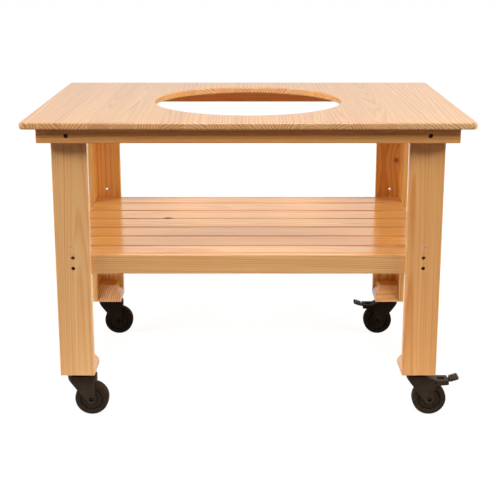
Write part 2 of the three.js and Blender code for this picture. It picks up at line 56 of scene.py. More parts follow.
# Wooden parts
BOARD_EASE, BATTEN_EASE, SLAT_EASE, BLOCK_EASE = 0.003, 0.002, 0.0048, 0.002
TOP_EASE, TOP_EASE_STEPS = 0.004, 5
TOP_CORNER_RADIUS, TOP_CORNER_STEPS = 0.013, 8
TOP_RIM_POINTS = 176
CUTOUT_RADIUS = 0.2765
STAVE_EDGES = (-0.547, -0.485, -0.421, -0.358, -0.295, -0.230, -0.166, -0.107, -0.048, 0.014,
               0.077, 0.139, 0.204, 0.267, 0.330, 0.3915, 0.455, 0.518, 0.581)
FLAT_SAWN_STAVES = (3, 4, 12, 15)
FLAT_SAWN_DENSITY = 0.6
SHELF_ROWS, SHELF_GAP = 7, 0.003
SLAT_TONES = (0.6, 0.1, 0.5, 1.1, 0.8, 0.3, 0.5)
FRONT_SLAT_WARMTH, SLAT_WARMTH = 0.12, 0.42
# A knot is its place, its radius and the axis across its face.
SLAT_KNOTS = {4: (((-0.251, 0.053, 0.480), 0.0075, "Z"),)}
BLOCK_SIDE_BAND, BLOCK_LIP = 0.018, 0.003
BLOCK_BEVEL_RUN, BLOCK_BEVEL_RISE = 0.028, 0.047

# Screws and bolts. The back legs' upper holes are small, as the light that comes through them is.
SCREW_HEAD_RADIUS, SCREW_HEAD_DEPTH, SCREW_SHANK_RADIUS = 0.00575, 0.003, 0.0025
SCREW_SEAT_RADIUS, SCREW_SEAT_DEPTH = 0.0060, 0.0040
BOLT_ROW_PITCH = 0.030
BOLT_HOLE_RADIUS = {-1: (0.0053, 0.0053, 0.0053), 1: (0.0053, 0.0042, 0.0044)}
BOLT_RADIUS, BOLT_SHANK_SHARE, BOLT_HEAD_SHARE = 0.0050, 0.85, 0.5
SOCKET_RADIUS, SOCKET_DEPTH, SCREW_SOCKET_SHARE = 0.0029, 0.0035, 0.6
# How far a cutter reaches past what it cuts
CUT_THROUGH = 0.002

# Casters, measured from the swivel axis and the floor
CASTER_HEIGHT = 0.130
TRAIL, WHEEL_RADIUS, WHEEL_HALF = 0.035, 0.048, 0.016
TYRE_INNER_RADIUS, TYRE_SHOULDER = 0.031, 0.0046
AXLE_RADIUS, AXLE_BORE_RADIUS, AXLE_END = 0.006, 0.0068, 0.019
FORK_GAP_HALF, FORK_SHEET = 0.018, 0.003
CROWN_FRONT, CROWN_REAR, CROWN_TOP, CROWN_CORNER = 0.031, 0.050, 0.119, 0.012
CROWN_FRONT_LOW, CHEEK_REAR_LOW, CHEEK_FOOT_RADIUS = 0.112, 0.098, 0.0138
HOUSING_TOP, HOUSING_END, HOUSING_SLOPE = 0.105, 0.088, (0.025, 0.054)
HEEL_RADIUS, THROAT_CENTRE, THROAT_RADIUS, LIP_RADIUS = 0.0019, (0.0658, 0.0745), 0.017, 0.003
WINDOW_HALF, WINDOW_ENDS, WINDOW_CORNER = 0.0075, (0.058, 0.078), 0.003
FOLD_RADIUS = 0.003
PRESSED_EASE, TREAD_EASE, RIB_EASE, ARM_EASE, FASTENER_EASE = 0.0005, 0.0018, 0.0009, 0.0008, 0.0004
PIN_X, PIN_HEIGHT, PIN_RADIUS = 0.050, 0.100, 0.00225
PIN_PLAY = 0.0003
# (radius, rise above the crown), (radius, place along the pin), and the arm's outline as (x, z)
BALL_RACE = ((0.0, -0.001), (0.0190, -0.001), (0.0186, 0.0012), (0.0170, 0.0026), (0.0164, 0.0036),
             (0.0170, 0.0048), (0.0184, 0.0064), (0.0188, 0.0072), (0.0, 0.0072))
PIN_PROFILE = ((0.0, -0.0200), (0.0018, -0.0200), (PIN_RADIUS, -0.0195), (PIN_RADIUS, -0.0175),
               (0.0032, -0.0175), (0.0032, 0.0175), (PIN_RADIUS, 0.0175), (PIN_RADIUS, 0.0195),
               (0.0018, 0.0200), (0.0, 0.0200))
SHOE_AND_ARM = ((0.0472, 0.0985), (0.0500, 0.0968), (0.0580, 0.0936), (0.0660, 0.0912), (0.0668, 0.0955),
                (0.0720, 0.0968), (0.0940, 0.1000), (0.0940, 0.1030), (0.0880, 0.1015), (0.0500, 0.1015))
ARM_HALF = 0.013
TREAD_LENGTH, TREAD_HALF, TREAD_CORNER, TREAD_LEVELS = 0.0270, 0.015, 0.006, (-0.0044, 0.0034)
TREAD_PLACE, TREAD_TILT, RIB_LIFT = (0.1042, 0, 0.1078), math.atan2(0.009, 0.0275), 0.0001
TREAD_SIZES = {"Ribs": 4, "Pitch": 0.0064, "Rib Width": 0.0031, "Rib Length": 0.0312, "Rib Height": 0.0092}

# Wood colours. A warmth above 0 multiplies by AGED_AND_WARM_SHADE and one below 0 by REDDENED. Aged pine is
# warmer; on the back boards inside the frame the warmth is also painted warm shade, and on the front rail
# REDDENED is redder painted shade. PALEST_PINE holds back the red of boards in full light, so that it doesn't
# clip. Boards with a tone of 2 or more are in shade, and their high tone is painted light.
RINGS_PER_METRE = 140.0
PINE_EARLY = (0.820, 0.482, 0.205, 1.0)
PINE_LATE = (0.700, 0.280, 0.078, 1.0)
PINE_GOLD = (0.800, 0.380, 0.100, 1.0)
PINE_CUT_PALE = (0.930, 0.560, 0.290, 1.0)
PINE_CUT_DARK = (0.340, 0.128, 0.050, 1.0)
PALEST_PINE = (0.835, 1.0, 1.0, 1.0)
PINE_GLUE = (0.930, 0.640, 0.360, 1.0)
AGED_AND_WARM_SHADE = (0.97, 0.885, 0.42, 1.0)
REDDENED = (1.0, 0.74, 0.38, 1.0)
# Painted shade at the gaps between slats
PAINTED_GAP_SHADE = (0.78, 0.50, 0.18, 1.0)
KNOT_RIM, KNOT_HEART = (0.330, 0.110, 0.028, 1.0), (0.090, 0.030, 0.011, 1.0)
SHADE_TONES = (1.2, 2.0)
VARNISH_IOR, VARNISH_ROUGHNESS, WOOD_ROUGHNESS = 1.68, 0.16, 0.55
# Stands for a knot or a seam that isn't there
FAR_OFF = 99.0

# The floor, the sky and their light. Other rays than the camera's and those in gloss see AMBIENT.
FLOOR_HALF = 9.0
FLOOR_GLOW, FLOOR_GLOW_REACH = (0.90, 1.0), (1.2, 3.0)
FLOOR_BOUNCE, FLOOR_REACH = (0.94, 0.10), (0.75, 1.15)
FLOOR_GREY = 0.13
FRONT_GLOSS, FLOOR_GLOSS, CEILING_GLOSS, LOW_GLOSS = 0.04, 0.6, 0.3, 0.79
FLOOR_GLOSS_DEPTHS, SKY_GLOSS_DEPTHS = (-0.6, 0.4), (-0.35, 0.15)
LOW_SKY, HIGH_SKY = (0.12, 0.24), (0.40, 0.75)
AMBIENT, AMBIENT_STRENGTH = (1.0, 0.30, 0.06, 1.0), 0.065
WHITE = (1.0, 1.0, 1.0, 1.0)

# Lamps: azimuth (0 is the front, 90 the right), elevation, size, power, and whether gloss shows them
LAMPS = {
    "high_front": (0, 57, (1.6, 2.2), 99, True),
    "key_left": (-66, 30, (1.2, 0.8), 73, False),
    "side_left": (-85, 15, (1.2, 0.8), 98, False),
    "key_right": (66, 30, (1.2, 0.8), 73, False),
    "side_right": (85, 15, (1.2, 0.8), 98, False),
    "back_fill": (180, 20, (2.4, 1.0), 102, False),
}
LAMP_AIM, LAMP_DISTANCE = (0, 0, 0.5), 4.3

# The camera, solved from the photo's edges
FOCAL_PIXELS, PICTURE_PIXELS, SENSOR_WIDTH = 998.8, 500, 36.0
CAMERA_PLACE, CAMERA_DIP, CAMERA_SHIFT = (0.0, -2.9624, 1.3064), 0.2244, (0.0036, -0.15)


def middle_of(node):
    low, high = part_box(node)
    return (low + high) / 2


def link(name, mesh):
    piece = bpy.data.objects.new(name, mesh)
    bpy.context.scene.collection.objects.link(piece)
    return piece


def piece_from(name, builder):
    """A new object from a bmesh, which is used up."""
    bmesh.ops.recalc_face_normals(builder, faces=builder.faces)
    mesh = bpy.data.meshes.new(name)
    builder.to_mesh(mesh)
    builder.free()
    return link(name, mesh)


def make_plain(piece):
    """Turns a piece with its modifiers into a plain mesh."""
    bpy.context.view_layer.update()
    graph = bpy.context.evaluated_depsgraph_get()
    shown = piece.evaluated_get(graph)
    mesh = bpy.data.meshes.new_from_object(shown, preserve_all_data_layers=True, depsgraph=graph)
    piece.modifiers.clear()
    old = piece.data
    piece.data = mesh
    mesh.name = piece.name
    if old.users == 0:
        bpy.data.meshes.remove(old)
    return piece


def combine(piece, operation, *others):
    """Joins a piece with others by the boolean solver, which uses the others up."""
    for other in others:
        join = piece.modifiers.new(operation.lower(), "BOOLEAN")
        join.operation = operation
        join.solver = "EXACT"
        join.object = other
    make_plain(piece)
    for other in others:
        mesh = other.data
        bpy.data.objects.remove(other)
        bpy.data.meshes.remove(mesh)
    return piece


def number_again(piece):
    """Numbers vertices and faces by their place, so that they come in the same order in each run."""
    rough = piece.data
    places = [tuple(round(value, 7) for value in vertex.co) for vertex in rough.vertices]
    order = sorted(range(len(places)), key=places.__getitem__)
    number = {old: new for new, old in enumerate(order)}
    faces = []
    for polygon in rough.polygons:
        corners = [number[index] for index in polygon.vertices]
        first = corners.index(min(corners))
        faces.append(corners[first:] + corners[:first])
    mesh = bpy.data.meshes.new("numbered")
    mesh.from_pydata([rough.vertices[old].co.copy() for old in order], [], sorted(faces))
    piece.data = mesh
    bpy.data.meshes.remove(rough)
    mesh.name = piece.name
    return piece


def round_edges(piece, width, steps=2, angle=35):
    bevel = piece.modifiers.new("eased edges", "BEVEL")
    bevel.width = width
    bevel.segments = steps
    bevel.limit_method = "ANGLE"
    bevel.angle_limit = math.radians(angle)
    bevel.use_clamp_overlap = True
    return make_plain(piece)


def shade(piece, sharp_angle=42):
    """Smooth shading that keeps flat faces flat."""
    piece.data.polygons.foreach_set("use_smooth", [True] * len(piece.data.polygons))
    piece.data.set_sharp_from_angle(angle=math.radians(sharp_angle))
    weighted = piece.modifiers.new("even shading", "WEIGHTED_NORMAL")
    weighted.keep_sharp = True
    weighted.weight = 100
    return make_plain(piece)


def dress(piece, material, body, nodes=()):
    """Gives a finished piece its material and its body, and hides the solids that it stands for."""
    piece.data.materials.clear()
    piece.data.materials.append(material)
    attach(piece, body)
    if nodes:
        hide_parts(*nodes)


# Shapes

def ease(builder, edges, width, steps):
    bmesh.ops.bevel(builder, geom=edges, offset=width, offset_type="OFFSET", segments=steps, profile=0.5,
                    affect="EDGES", clamp_overlap=True)


def bisect(builder, point, normal, **settings):
    whole = builder.verts[:] + builder.edges[:] + builder.faces[:]
    bmesh.ops.bisect_plane(builder, geom=whole, plane_co=point, plane_no=normal, dist=1e-6, **settings)


def box_mesh(low, high, width=0.0):
    """A box whose edges are eased by a width."""
    builder = bmesh.new()
    bmesh.ops.create_cube(builder, size=1.0)
    size, middle = Vector(high) - Vector(low), (Vector(high) + Vector(low)) / 2
    for vertex in builder.verts:
        vertex.co = Vector(c * s for c, s in zip(vertex.co, size)) + middle
    if width:
        ease(builder, builder.edges[:], width, 3)
    return builder


def turned(profile, steps, axis="Y", place=(0, 0, 0)):
    """A profile of (radius, height) pairs turned about an axis. It closes on itself or ends on the axis."""
    builder = bmesh.new()
    rings = []
    for radius, height in profile:
        if radius == 0:
            rings.append([builder.verts.new((0, 0, height))])
            continue
        ring = []
        for step in range(steps):
            angle = 2 * math.pi * (step + 0.5) / steps
            ring.append(builder.verts.new((radius * math.cos(angle), radius * math.sin(angle), height)))
        rings.append(ring)
    closed = len(rings[0]) > 1 and len(rings[-1]) > 1
    pairs = list(zip(rings, rings[1:])) + ([(rings[-1], rings[0])] if closed else [])
    for lower, upper in pairs:
        for step in range(steps):
            after = (step + 1) % steps
            corners = [lower[step % len(lower)], lower[after % len(lower)],
                       upper[after % len(upper)], upper[step % len(upper)]]
            distinct = list(dict.fromkeys(corners))
            if len(distinct) > 2:
                builder.faces.new(distinct)
    if axis == "Y":
        bmesh.ops.transform(builder, matrix=Matrix.Rotation(math.pi / 2, 4, "X"), verts=builder.verts)
    bmesh.ops.translate(builder, vec=Vector(place), verts=builder.verts)
    return builder


def slab(outline, start, end, axis):
    """An outline pushed along an axis: (x, z) along Y, or (x, y) along Z."""
    builder = bmesh.new()
    if axis == "Y":
        ring = [builder.verts.new((x, start, z)) for x, z in outline]
        push = Vector((0, end - start, 0))
    else:
        ring = [builder.verts.new((x, y, start)) for x, y in outline]
        push = Vector((0, 0, end - start))
    face = builder.faces.new(ring)
    moved = bmesh.ops.extrude_face_region(builder, geom=[face])["geom"]
    bmesh.ops.translate(builder, vec=push, verts=[v for v in moved if isinstance(v, bmesh.types.BMVert)])
    return builder


def arc(centre_x, centre_z, radius, start, end, steps):
    return [(centre_x + radius * math.cos(start + (end - start) * i / steps),
             centre_z + radius * math.sin(start + (end - start) * i / steps)) for i in range(steps + 1)]


def rounded_plan(left, right, half, radius, steps=8):
    turn = math.pi / 2
    return (arc(right - radius, -half + radius, radius, -turn, 0, steps)
            + arc(right - radius, half - radius, radius, 0, turn, steps)
            + arc(left + radius, half - radius, radius, turn, 2 * turn, steps)
            + arc(left + radius, -half + radius, radius, 2 * turn, 3 * turn, steps))


# Node trees and materials

class Nodes:
    """A node tree, written one node at a time. Most calls give back the output for the next one."""

    def __init__(self, tree):
        self.tree = tree

    def add(self, kind, inputs=None, **settings):
        node = self.tree.nodes.new(kind)
        for name, value in settings.items():
            setattr(node, name, value)
        for name, value in (inputs or {}).items():
            self.set(node, name, value)
        return node

    def get(self, kind, inputs=None, **settings):
        return self.add(kind, inputs, **settings).outputs[0]

    def set(self, node, name, value):
        socket = node.inputs[name]
        if isinstance(value, bpy.types.NodeSocket):
            self.tree.links.new(value, socket)
        else:
            socket.default_value = value

    def math(self, operation, *values, clamp=False):
        return self.get("ShaderNodeMath", dict(enumerate(values)), operation=operation, use_clamp=clamp)

    def plus(self, first, second):
        return self.math("ADD", first, second)

    def minus(self, first, second):
        return self.math("SUBTRACT", first, second)

    def times(self, first, second, clamp=False):
        return self.math("MULTIPLY", first, second, clamp=clamp)

    def larger(self, first, second):
        return self.math("MAXIMUM", first, second)

    def vector(self, operation, *values):
        node = self.add("ShaderNodeVectorMath", dict(enumerate(values)), operation=operation)
        return node.outputs["Value" if operation == "LENGTH" else "Vector"]

    def joined(self, x=0.0, y=0.0, z=0.0):
        return self.get("ShaderNodeCombineXYZ", {0: x, 1: y, 2: z})

    def parts(self, vector):
        return self.add("ShaderNodeSeparateXYZ", {0: vector}).outputs

    def attribute(self, name):
        return self.add("ShaderNodeAttribute", attribute_name=name).outputs["Vector"]

    def object_place(self):
        return self.add("ShaderNodeTexCoord").outputs["Object"]

    def blend(self, share, first, second, how="MIX"):
        inputs = {0: share, 6: first, 7: second}
        return self.add("ShaderNodeMix", inputs, data_type="RGBA", blend_type=how).outputs[2]

    def tinted(self, share, colour, by):
        return self.blend(share, colour, self.blend(1.0, colour, by, "MULTIPLY"))

    def ramp(self, value, stops):
        node = self.add("ShaderNodeValToRGB", {0: value})
        elements = node.color_ramp.elements
        while len(elements) < len(stops):
            elements.new(1.0)
        for element, (position, level) in zip(elements, stops):
            element.position = position
            element.color = (level, level, level, 1.0)
        return node.outputs[0]

    def spread(self, value, low, high, new_low, new_high):
        return self.get("ShaderNodeMapRange", {0: value, 1: low, 2: high, 3: new_low, 4: new_high})

    def noise(self, place, scale, detail=2.0, roughness=0.5):
        inputs = {"Vector": place, "Scale": scale, "Detail": detail, "Roughness": roughness}
        return self.get("ShaderNodeTexNoise", inputs)

    def streaks(self, place, stretch, detail=2.0):
        return self.noise(self.vector("MULTIPLY", place, stretch), 1.0, detail)

    def bump(self, strength, distance, height):
        return self.get("ShaderNodeBump", {"Strength": strength, "Distance": distance, "Height": height})


def new_material(name):
    material = bpy.data.materials.new(name)
    material.use_nodes = True
    material.node_tree.nodes.clear()
    return material, Nodes(material.node_tree)


def finish_material(nodes, shader):
    nodes.add("ShaderNodeOutputMaterial", {"Surface": shader})


def year_rings(n, place, wave, density, knot_distance):
    """How many year rings lie between a board's heart line and a place. They sway, and bulge at knots."""
    slow = n.streaks(place, (1.3, 6.0, 6.0)).node.outputs["Color"]
    reach = n.times(wave, 0.034)
    sway = n.vector("MULTIPLY", n.vector("SUBTRACT", slow, (0.5, 0.5, 0.5)), n.joined(y=reach, z=reach))
    across = n.vector("LENGTH", n.vector("MULTIPLY", n.vector("ADD", place, sway), (0.0, 1.0, 1.0)))
    uneven = n.streaks(place, (0.0, 22.0, 22.0), 1.0)
    bulge = n.times(n.math("EXPONENT", n.times(knot_distance, -0.55)), 1.6)
    ring = n.times(across, n.times(density, RINGS_PER_METRE))
    return n.plus(n.plus(ring, n.times(uneven, 2.4)), bulge)


def show_seams(n, colour, seam, end_grain):
    """Pale glue lines between staves, and painted shade darkening the slats' edges along the gaps."""
    edge, kind = n.math("MINIMUM", seam[0], seam[1]), seam[2]
    glue = n.times(n.spread(edge, 0.25, 1.0, 1.0, 0.0), n.larger(kind, 0.0))
    colour = n.blend(n.times(glue, n.spread(end_grain, 0.0, 1.0, 0.25, 0.75)), colour, PINE_GLUE)
    # Painted shade: the slats' edges darken within a few millimetres of each gap.
    gap_shade_share = n.times(n.spread(edge, 0.0, 7.0, 1.0, 0.0), n.larger(n.times(kind, -1.0), 0.0))
    return n.tinted(gap_shade_share, colour, PAINTED_GAP_SHADE)


def show_knots(n, colour, knot_distance):
    """A dark heart with rings of its own in a brown rim."""
    rim = n.ramp(knot_distance, ((0.0, 1.0), (0.13, 1.0), (0.19, 0.62), (0.32, 0.0)))
    heart = n.ramp(knot_distance, ((0.0, 1.0), (0.085, 0.82), (0.115, 0.0)))
    nested = n.ramp(n.math("FRACT", n.times(knot_distance, 26.0)), ((0.0, 0.2), (0.7, 0.8), (1.0, 0.2)))
    colour = n.blend(n.times(rim, 0.72), colour, KNOT_RIM)
    return n.blend(n.times(heart, n.spread(nested, 0.0, 1.0, 0.55, 0.95)), colour, KNOT_HEART)


def varnished_pine():
    """Pine in the round: rings about each board's own heart line under a thin satin varnish. Each board
    carries its place along and across the grain, its tone, end grain and figure, its warmth, wave and
    ring density, and the offsets from its knots and seams."""
    material, n = new_material("varnished_pine")
    place, knot_distance = n.attribute("grain"), n.vector("LENGTH", n.attribute("knot"))
    tone, end_grain, figure = n.parts(n.attribute("board"))
    warmth, wave, density = n.parts(n.attribute("look"))
    ring = year_rings(n, place, wave, density, knot_distance)
    in_year = n.math("FRACT", ring)
    late = n.ramp(in_year, ((0.0, 0.02), (0.40, 0.14), (0.80, 1.0), (0.92, 0.70), (1.0, 0.02)))
    cut_late = n.ramp(in_year, ((0.0, 0.0), (0.38, 0.05), (0.72, 1.0), (0.92, 0.90), (1.0, 0.0)))
    season = n.noise(n.joined(n.math("FLOOR", ring)), 0.73, 1.0)
    band = n.noise(n.joined(ring), 0.31)
    fibre = n.streaks(place, (9.0, 620.0, 620.0))
    fine = n.streaks(place, (2.2, 210.0, 210.0), 3.0)
    streak = n.streaks(place, (1.6, 75.0, 75.0))
    cloud = n.streaks(place, (2.0, 9.0, 9.0))

    strength = n.times(figure, n.spread(season, 0.3, 0.7, 0.45, 1.35))
    long_grain = n.blend(n.times(late, strength, clamp=True), PINE_EARLY, PINE_LATE)
    cut_strength = n.times(cut_late, n.spread(season, 0.3, 0.7, 0.35, 1.0))
    colour = n.blend(end_grain, long_grain, n.blend(cut_strength, PINE_CUT_PALE, PINE_CUT_DARK))
    level = n.spread(tone, -1.0, 3.0, 0.73, 1.41)
    for grain, *levels in ((streak, 0.25, 0.75, 0.93, 1.06), (fine, 0.25, 0.75, 0.90, 1.07),
                           (band, 0.25, 0.75, 0.945, 1.045), (fibre, 0.25, 0.75, 0.96, 1.035),
                           (cloud, 0.3, 0.7, 0.965, 1.03)):
        level = n.times(level, n.spread(grain, *levels))
    depth = n.get("ShaderNodeCombineColor",
                  {0: n.math("POWER", level, 0.6), 1: level, 2: n.math("POWER", level, 1.7)})
    colour = n.blend(1.0, colour, depth, "MULTIPLY")
    colour = n.blend(n.spread(cloud, 0.35, 0.75, 0.0, 0.25), colour, PINE_GOLD)
    # Warmth: aged colour, and painted warm and red shade on the boards in shade.
    colour = n.tinted(n.times(warmth, n.minus(1.0, end_grain)), colour, AGED_AND_WARM_SHADE)
    colour = n.tinted(n.times(warmth, -1.0), colour, REDDENED)
    # Boards in shade skip the cap, so their high tone shows as painted light.
    colour = n.blend(n.spread(tone, *SHADE_TONES, 1.0, 0.0), colour, PALEST_PINE, "DARKEN")
    colour = show_seams(n, colour, n.parts(n.attribute("seam")), end_grain)
    colour = show_knots(n, colour, knot_distance)

    relief = n.plus(n.times(late, 0.5), n.times(fibre, 0.5))
    finish_material(n, n.get("ShaderNodeBsdfPrincipled", {
        "Base Color": colour, "Roughness": WOOD_ROUGHNESS, "Normal": n.bump(0.16, 0.0003, relief),
        "Specular IOR Level": 0.0, "Coat Weight": 1.0, "Coat Roughness": VARNISH_ROUGHNESS,
        "Coat IOR": VARNISH_IOR, "Coat Normal": n.bump(0.10, 0.0003, relief)}))
    return material


def dark_coat(name, depth, patches, tints, skin, bump, roughness, sheen, split=(0.0, 1.0), specks=None):
    """Two dark tints in patches, which depth multiplies, with a fine skin and a soft sheen."""
    def tint(colour):
        return (*(channel * depth for channel in colour), 1.0)

    material, n = new_material(name)
    place = n.object_place()
    patch = n.noise(place, *patches)
    colour = n.blend(n.spread(patch, *split, 0.0, 1.0), *map(tint, tints))
    if specks:
        share = n.ramp(n.noise(place, 420.0), ((0.0, 0.0), (0.66, 0.0), (0.76, 1.0)))
        colour = n.blend(n.times(share, 0.25), colour, tint(specks))
    texture, scale = skin
    height = n.get(texture, {"Vector": place, "Scale": scale})
    finish_material(n, n.get("ShaderNodeBsdfPrincipled", {
        "Base Color": colour, "Roughness": n.spread(patch, 0.3, 0.7, *roughness),
        "Normal": n.bump(*bump, height), "Specular IOR Level": sheen * depth}))
    return material


# Satin coat on pressed steel: fine orange peel, rubbed lighter in patches and specks
STEEL_COAT = dict(
    patches=(38.0, 3.0), split=(0.35, 0.7), tints=((0.030, 0.0185, 0.0108), (0.041, 0.0262, 0.0158)),
    specks=(0.075, 0.052, 0.036), skin=("ShaderNodeTexNoise", 900.0), bump=(0.25, 0.0002),
    roughness=(0.36, 0.5), sheen=0.11)
# Dull rubber with a fine pitted skin and faint dust on it
RUBBER_COAT = dict(
    patches=(55.0, 4.0, 0.6), split=(0.4, 0.75), tints=((0.0285, 0.0180, 0.0104), (0.040, 0.0260, 0.0162)),
    skin=("ShaderNodeTexNoise", 1100.0), bump=(0.3, 0.0002), roughness=(0.58, 0.72), sheen=0.08)
# Black plastic from the mould: fine even grain and soft sheen
PLASTIC_COAT = dict(
    patches=(30.0, 3.0), skin=("ShaderNodeTexVoronoi", 1400.0), bump=(0.2, 0.00015),
    roughness=(0.42, 0.54), sheen=0.11)
BLACK_COAT = dict(PLASTIC_COAT, tints=((0.0295, 0.0190, 0.0112), (0.038, 0.0252, 0.0158)))
# The ribs' paler coat is partly scuffing and partly painted highlight: the rib tops lighter than the grooves,
# as light falls on them.
SCUFF_AND_HIGHLIGHT_COAT = dict(PLASTIC_COAT, tints=((0.085, 0.062, 0.046), (0.130, 0.100, 0.078)))
# A smaller depth makes a coat darker. The back casters' darker coats are painted shade.
SHADED_BACK_DEPTH = 0.4


def front_and_back(front_name, front_depth, shaded_name, coat):
    """Coats of the front casters (-1), and darker copies for the back ones (1), whose darkness is painted
    shade.
    """
    return {-1: dark_coat(front_name, front_depth, **coat), 1: dark_coat(shaded_name, SHADED_BACK_DEPTH, **coat)}


PINE = varnished_pine()
# The back casters' coats are darker copies of the front ones: painted shade.
STEEL = front_and_back("black_coated_steel", 1.2, "shaded_black_steel", STEEL_COAT)
RUBBER = front_and_back("black_rubber", 1.0, "shaded_black_rubber", RUBBER_COAT)
PLASTIC = front_and_back("moulded_plastic", 0.85, "shaded_moulded_plastic", BLACK_COAT)
SCUFF_AND_HIGHLIGHT = dark_coat("scuffed_and_highlit_plastic", 1.0, **SCUFF_AND_HIGHLIGHT_COAT)


# Grain

ALONG = {"X": Matrix(((1, 0, 0), (0, 1, 0), (0, 0, 1))), "Y": Matrix(((0, 1, 0), (1, 0, 0), (0, 0, 1))),
         "Z": Matrix(((0, 0, 1), (1, 0, 0), (0, 1, 0)))}


class Board:
    """How one board was sawn: where its heart line lies, how far that leans, its tone and its knots. What
    isn't given is drawn at random from the board's own seed."""

    def __init__(self, seed, axis, middle, heart=None, lean=None, tone=None, figure=None, warmth=0.0,
                 wave=None, density=None, knots=()):
        chance = random.Random(seed)
        side = chance.choice((-1, 1))
        self.axis = axis
        self.middle = Vector(middle)
        self.shift = chance.uniform(0, 40)
        self.heart = heart or (chance.uniform(-0.06, 0.06), side * chance.uniform(0.035, 0.110))
        self.lean = lean or (chance.uniform(-0.02, 0.02), chance.uniform(-0.025, 0.025))
        self.tone = chance.random() if tone is None else tone
        self.figure = chance.uniform(0.55, 0.8) if figure is None else figure
        self.look = (warmth, chance.uniform(0.25, 0.6) if wave is None else wave,
                     chance.uniform(0.8, 1.25) if density is None else density)
        self.knots = knots

    def places(self, points):
        turned_points = (points - np.array(self.middle)) @ np.array(ALONG[self.axis]).T
        along = turned_points[:, 0]
        return np.stack([along + self.shift,
                         turned_points[:, 1] - self.heart[0] - self.lean[0] * along,
                         turned_points[:, 2] - self.heart[1] - self.lean[1] * along], axis=1)

    def end_grain(self, normals):
        return np.clip((np.abs(normals @ np.array(ALONG[self.axis])[0]) - 0.55) / 0.3, 0, 1)

    def knot_places(self, points):
        """The offset from the nearest knot, in units of eight knot radii, in the plane of its face."""
        best = np.full((len(points), 3), FAR_OFF)
        for centre, radius, across in self.knots:
            flat = np.array([0.0 if axis == across else 1.0 for axis in "XYZ"])
            stretch = np.array([0.8 if axis == self.axis else 1.0 for axis in "XYZ"])
            offset = (points - np.array(centre)) * flat * stretch / (8 * radius)
            nearer = np.linalg.norm(offset, axis=1) < np.linalg.norm(best, axis=1)
            best[nearer] = offset[nearer]
        return best


def read_all(items, field, kind, width=1):
    values = np.empty(len(items) * width, dtype=kind)
    items.foreach_get(field, values)
    return values.reshape(-1, width) if width > 1 else values


def lay_grain(mesh, boards, board_of_face=None, seams=()):
    """Writes the grain, board, look, knot and seam attributes on every face corner. A seam is the axis it is
    measured along, the board's two edges there, and 1 for a glue line or -1 for painted shade at a gap."""
    points = read_all(mesh.vertices, "co", np.float64, 3)
    normals = read_all(mesh.polygons, "normal", np.float64, 3)
    corner_vertex = read_all(mesh.loops, "vertex_index", np.int64)
    counts = read_all(mesh.polygons, "loop_total", np.int64)
    face_of_corner = np.repeat(np.arange(len(counts)), counts)
    choice = np.zeros(len(counts), dtype=np.int64) if board_of_face is None else np.asarray(board_of_face)
    layers = {name: np.zeros((len(mesh.loops), 3)) for name in ("grain", "board", "look", "knot", "seam")}
    layers["seam"][:] = (FAR_OFF, FAR_OFF, 0.0)
    for number, board in enumerate(boards):
        mine = choice[face_of_corner] == number
        places = points[corner_vertex[mine]]
        layers["grain"][mine] = board.places(places)
        end_grain = board.end_grain(normals[face_of_corner[mine]])
        layers["board"][mine] = [(board.tone, share, board.figure) for share in end_grain]
        layers["look"][mine] = board.look
        layers["knot"][mine] = board.knot_places(places)
        if seams:
            axis, low, high, kind = seams[number]
            along = places[:, axis]
            layers["seam"][mine] = [((place - low) * 1000, (high - place) * 1000, kind) for place in along]
    for name, values in layers.items():
        layer = mesh.attributes.new(name, "FLOAT_VECTOR", "CORNER")
        layer.data.foreach_set("vector", values.astype(np.float32).ravel())


# Worktop

def worktop_outline():
    """Points round the worktop, each with its outward direction."""
    low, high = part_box("table_top")
    half_x, half_y = (high.x - low.x) / 2, (high.y - low.y) / 2
    radius = TOP_CORNER_RADIUS
    points = []
    for number in range(TOP_RIM_POINTS):
        angle = 2 * math.pi * number / TOP_RIM_POINTS
        x, y = math.cos(angle), math.sin(angle)
        reach = min(half_x / max(abs(x), 1e-9), half_y / max(abs(y), 1e-9))
        x, y = x * reach, y * reach
        if abs(x) > half_x - radius and abs(y) > half_y - radius:
            continue
        out = Vector((math.copysign(1, x), 0)) if abs(x) > half_x - 1e-6 else Vector((0, math.copysign(1, y)))
        points.append((Vector((x, y)), out))
    for side_x in (-1, 1):
        for side_y in (-1, 1):
            centre = Vector((side_x * (half_x - radius), side_y * (half_y - radius)))
            for step in range(TOP_CORNER_STEPS + 1):
                angle = math.pi / 2 * step / TOP_CORNER_STEPS
                out = Vector((side_x * math.cos(angle), side_y * math.sin(angle)))
                points.append((centre + radius * out, out))
    return sorted(points, key=lambda pair: math.atan2(pair[0].y, pair[0].x))


def sawn_stave(number, left, right, low, high):
    """One stave of the worktop. A few are flat sawn, close to their heart, and show wide waves."""
    middle = ((left + right) / 2, 0, low.z)
    chance = random.Random(900 + number)
    flat_sawn = number in FLAT_SAWN_STAVES
    # The tone that rises towards the right is painted light: it shows the right of the worktop brighter. The
    # random part is each stave's own tone.
    tone = 0.05 + 0.55 * middle[0] / high.x + chance.uniform(-0.4, 0.4)
    density = chance.uniform(0.78, 1.0) + FLAT_SAWN_DENSITY * flat_sawn
    sawn = dict(tone=tone, warmth=0.65, density=density)
    if flat_sawn:
        heart = (chance.uniform(-0.008, 0.008), -chance.uniform(0.012, 0.026))
        lean = (chance.uniform(-0.01, 0.01), chance.choice((-1, 1)) * chance.uniform(0.012, 0.024))
        return Board(40 + number, "Y", middle, heart, lean, figure=0.8, wave=0.9, **sawn)
    heart = (chance.choice((-1, 1)) * chance.uniform(0.05, 0.16), -chance.uniform(0.01, 0.11))
    return Board(40 + number, "Y", middle, heart, figure=chance.uniform(0.75, 1.2), **sawn)


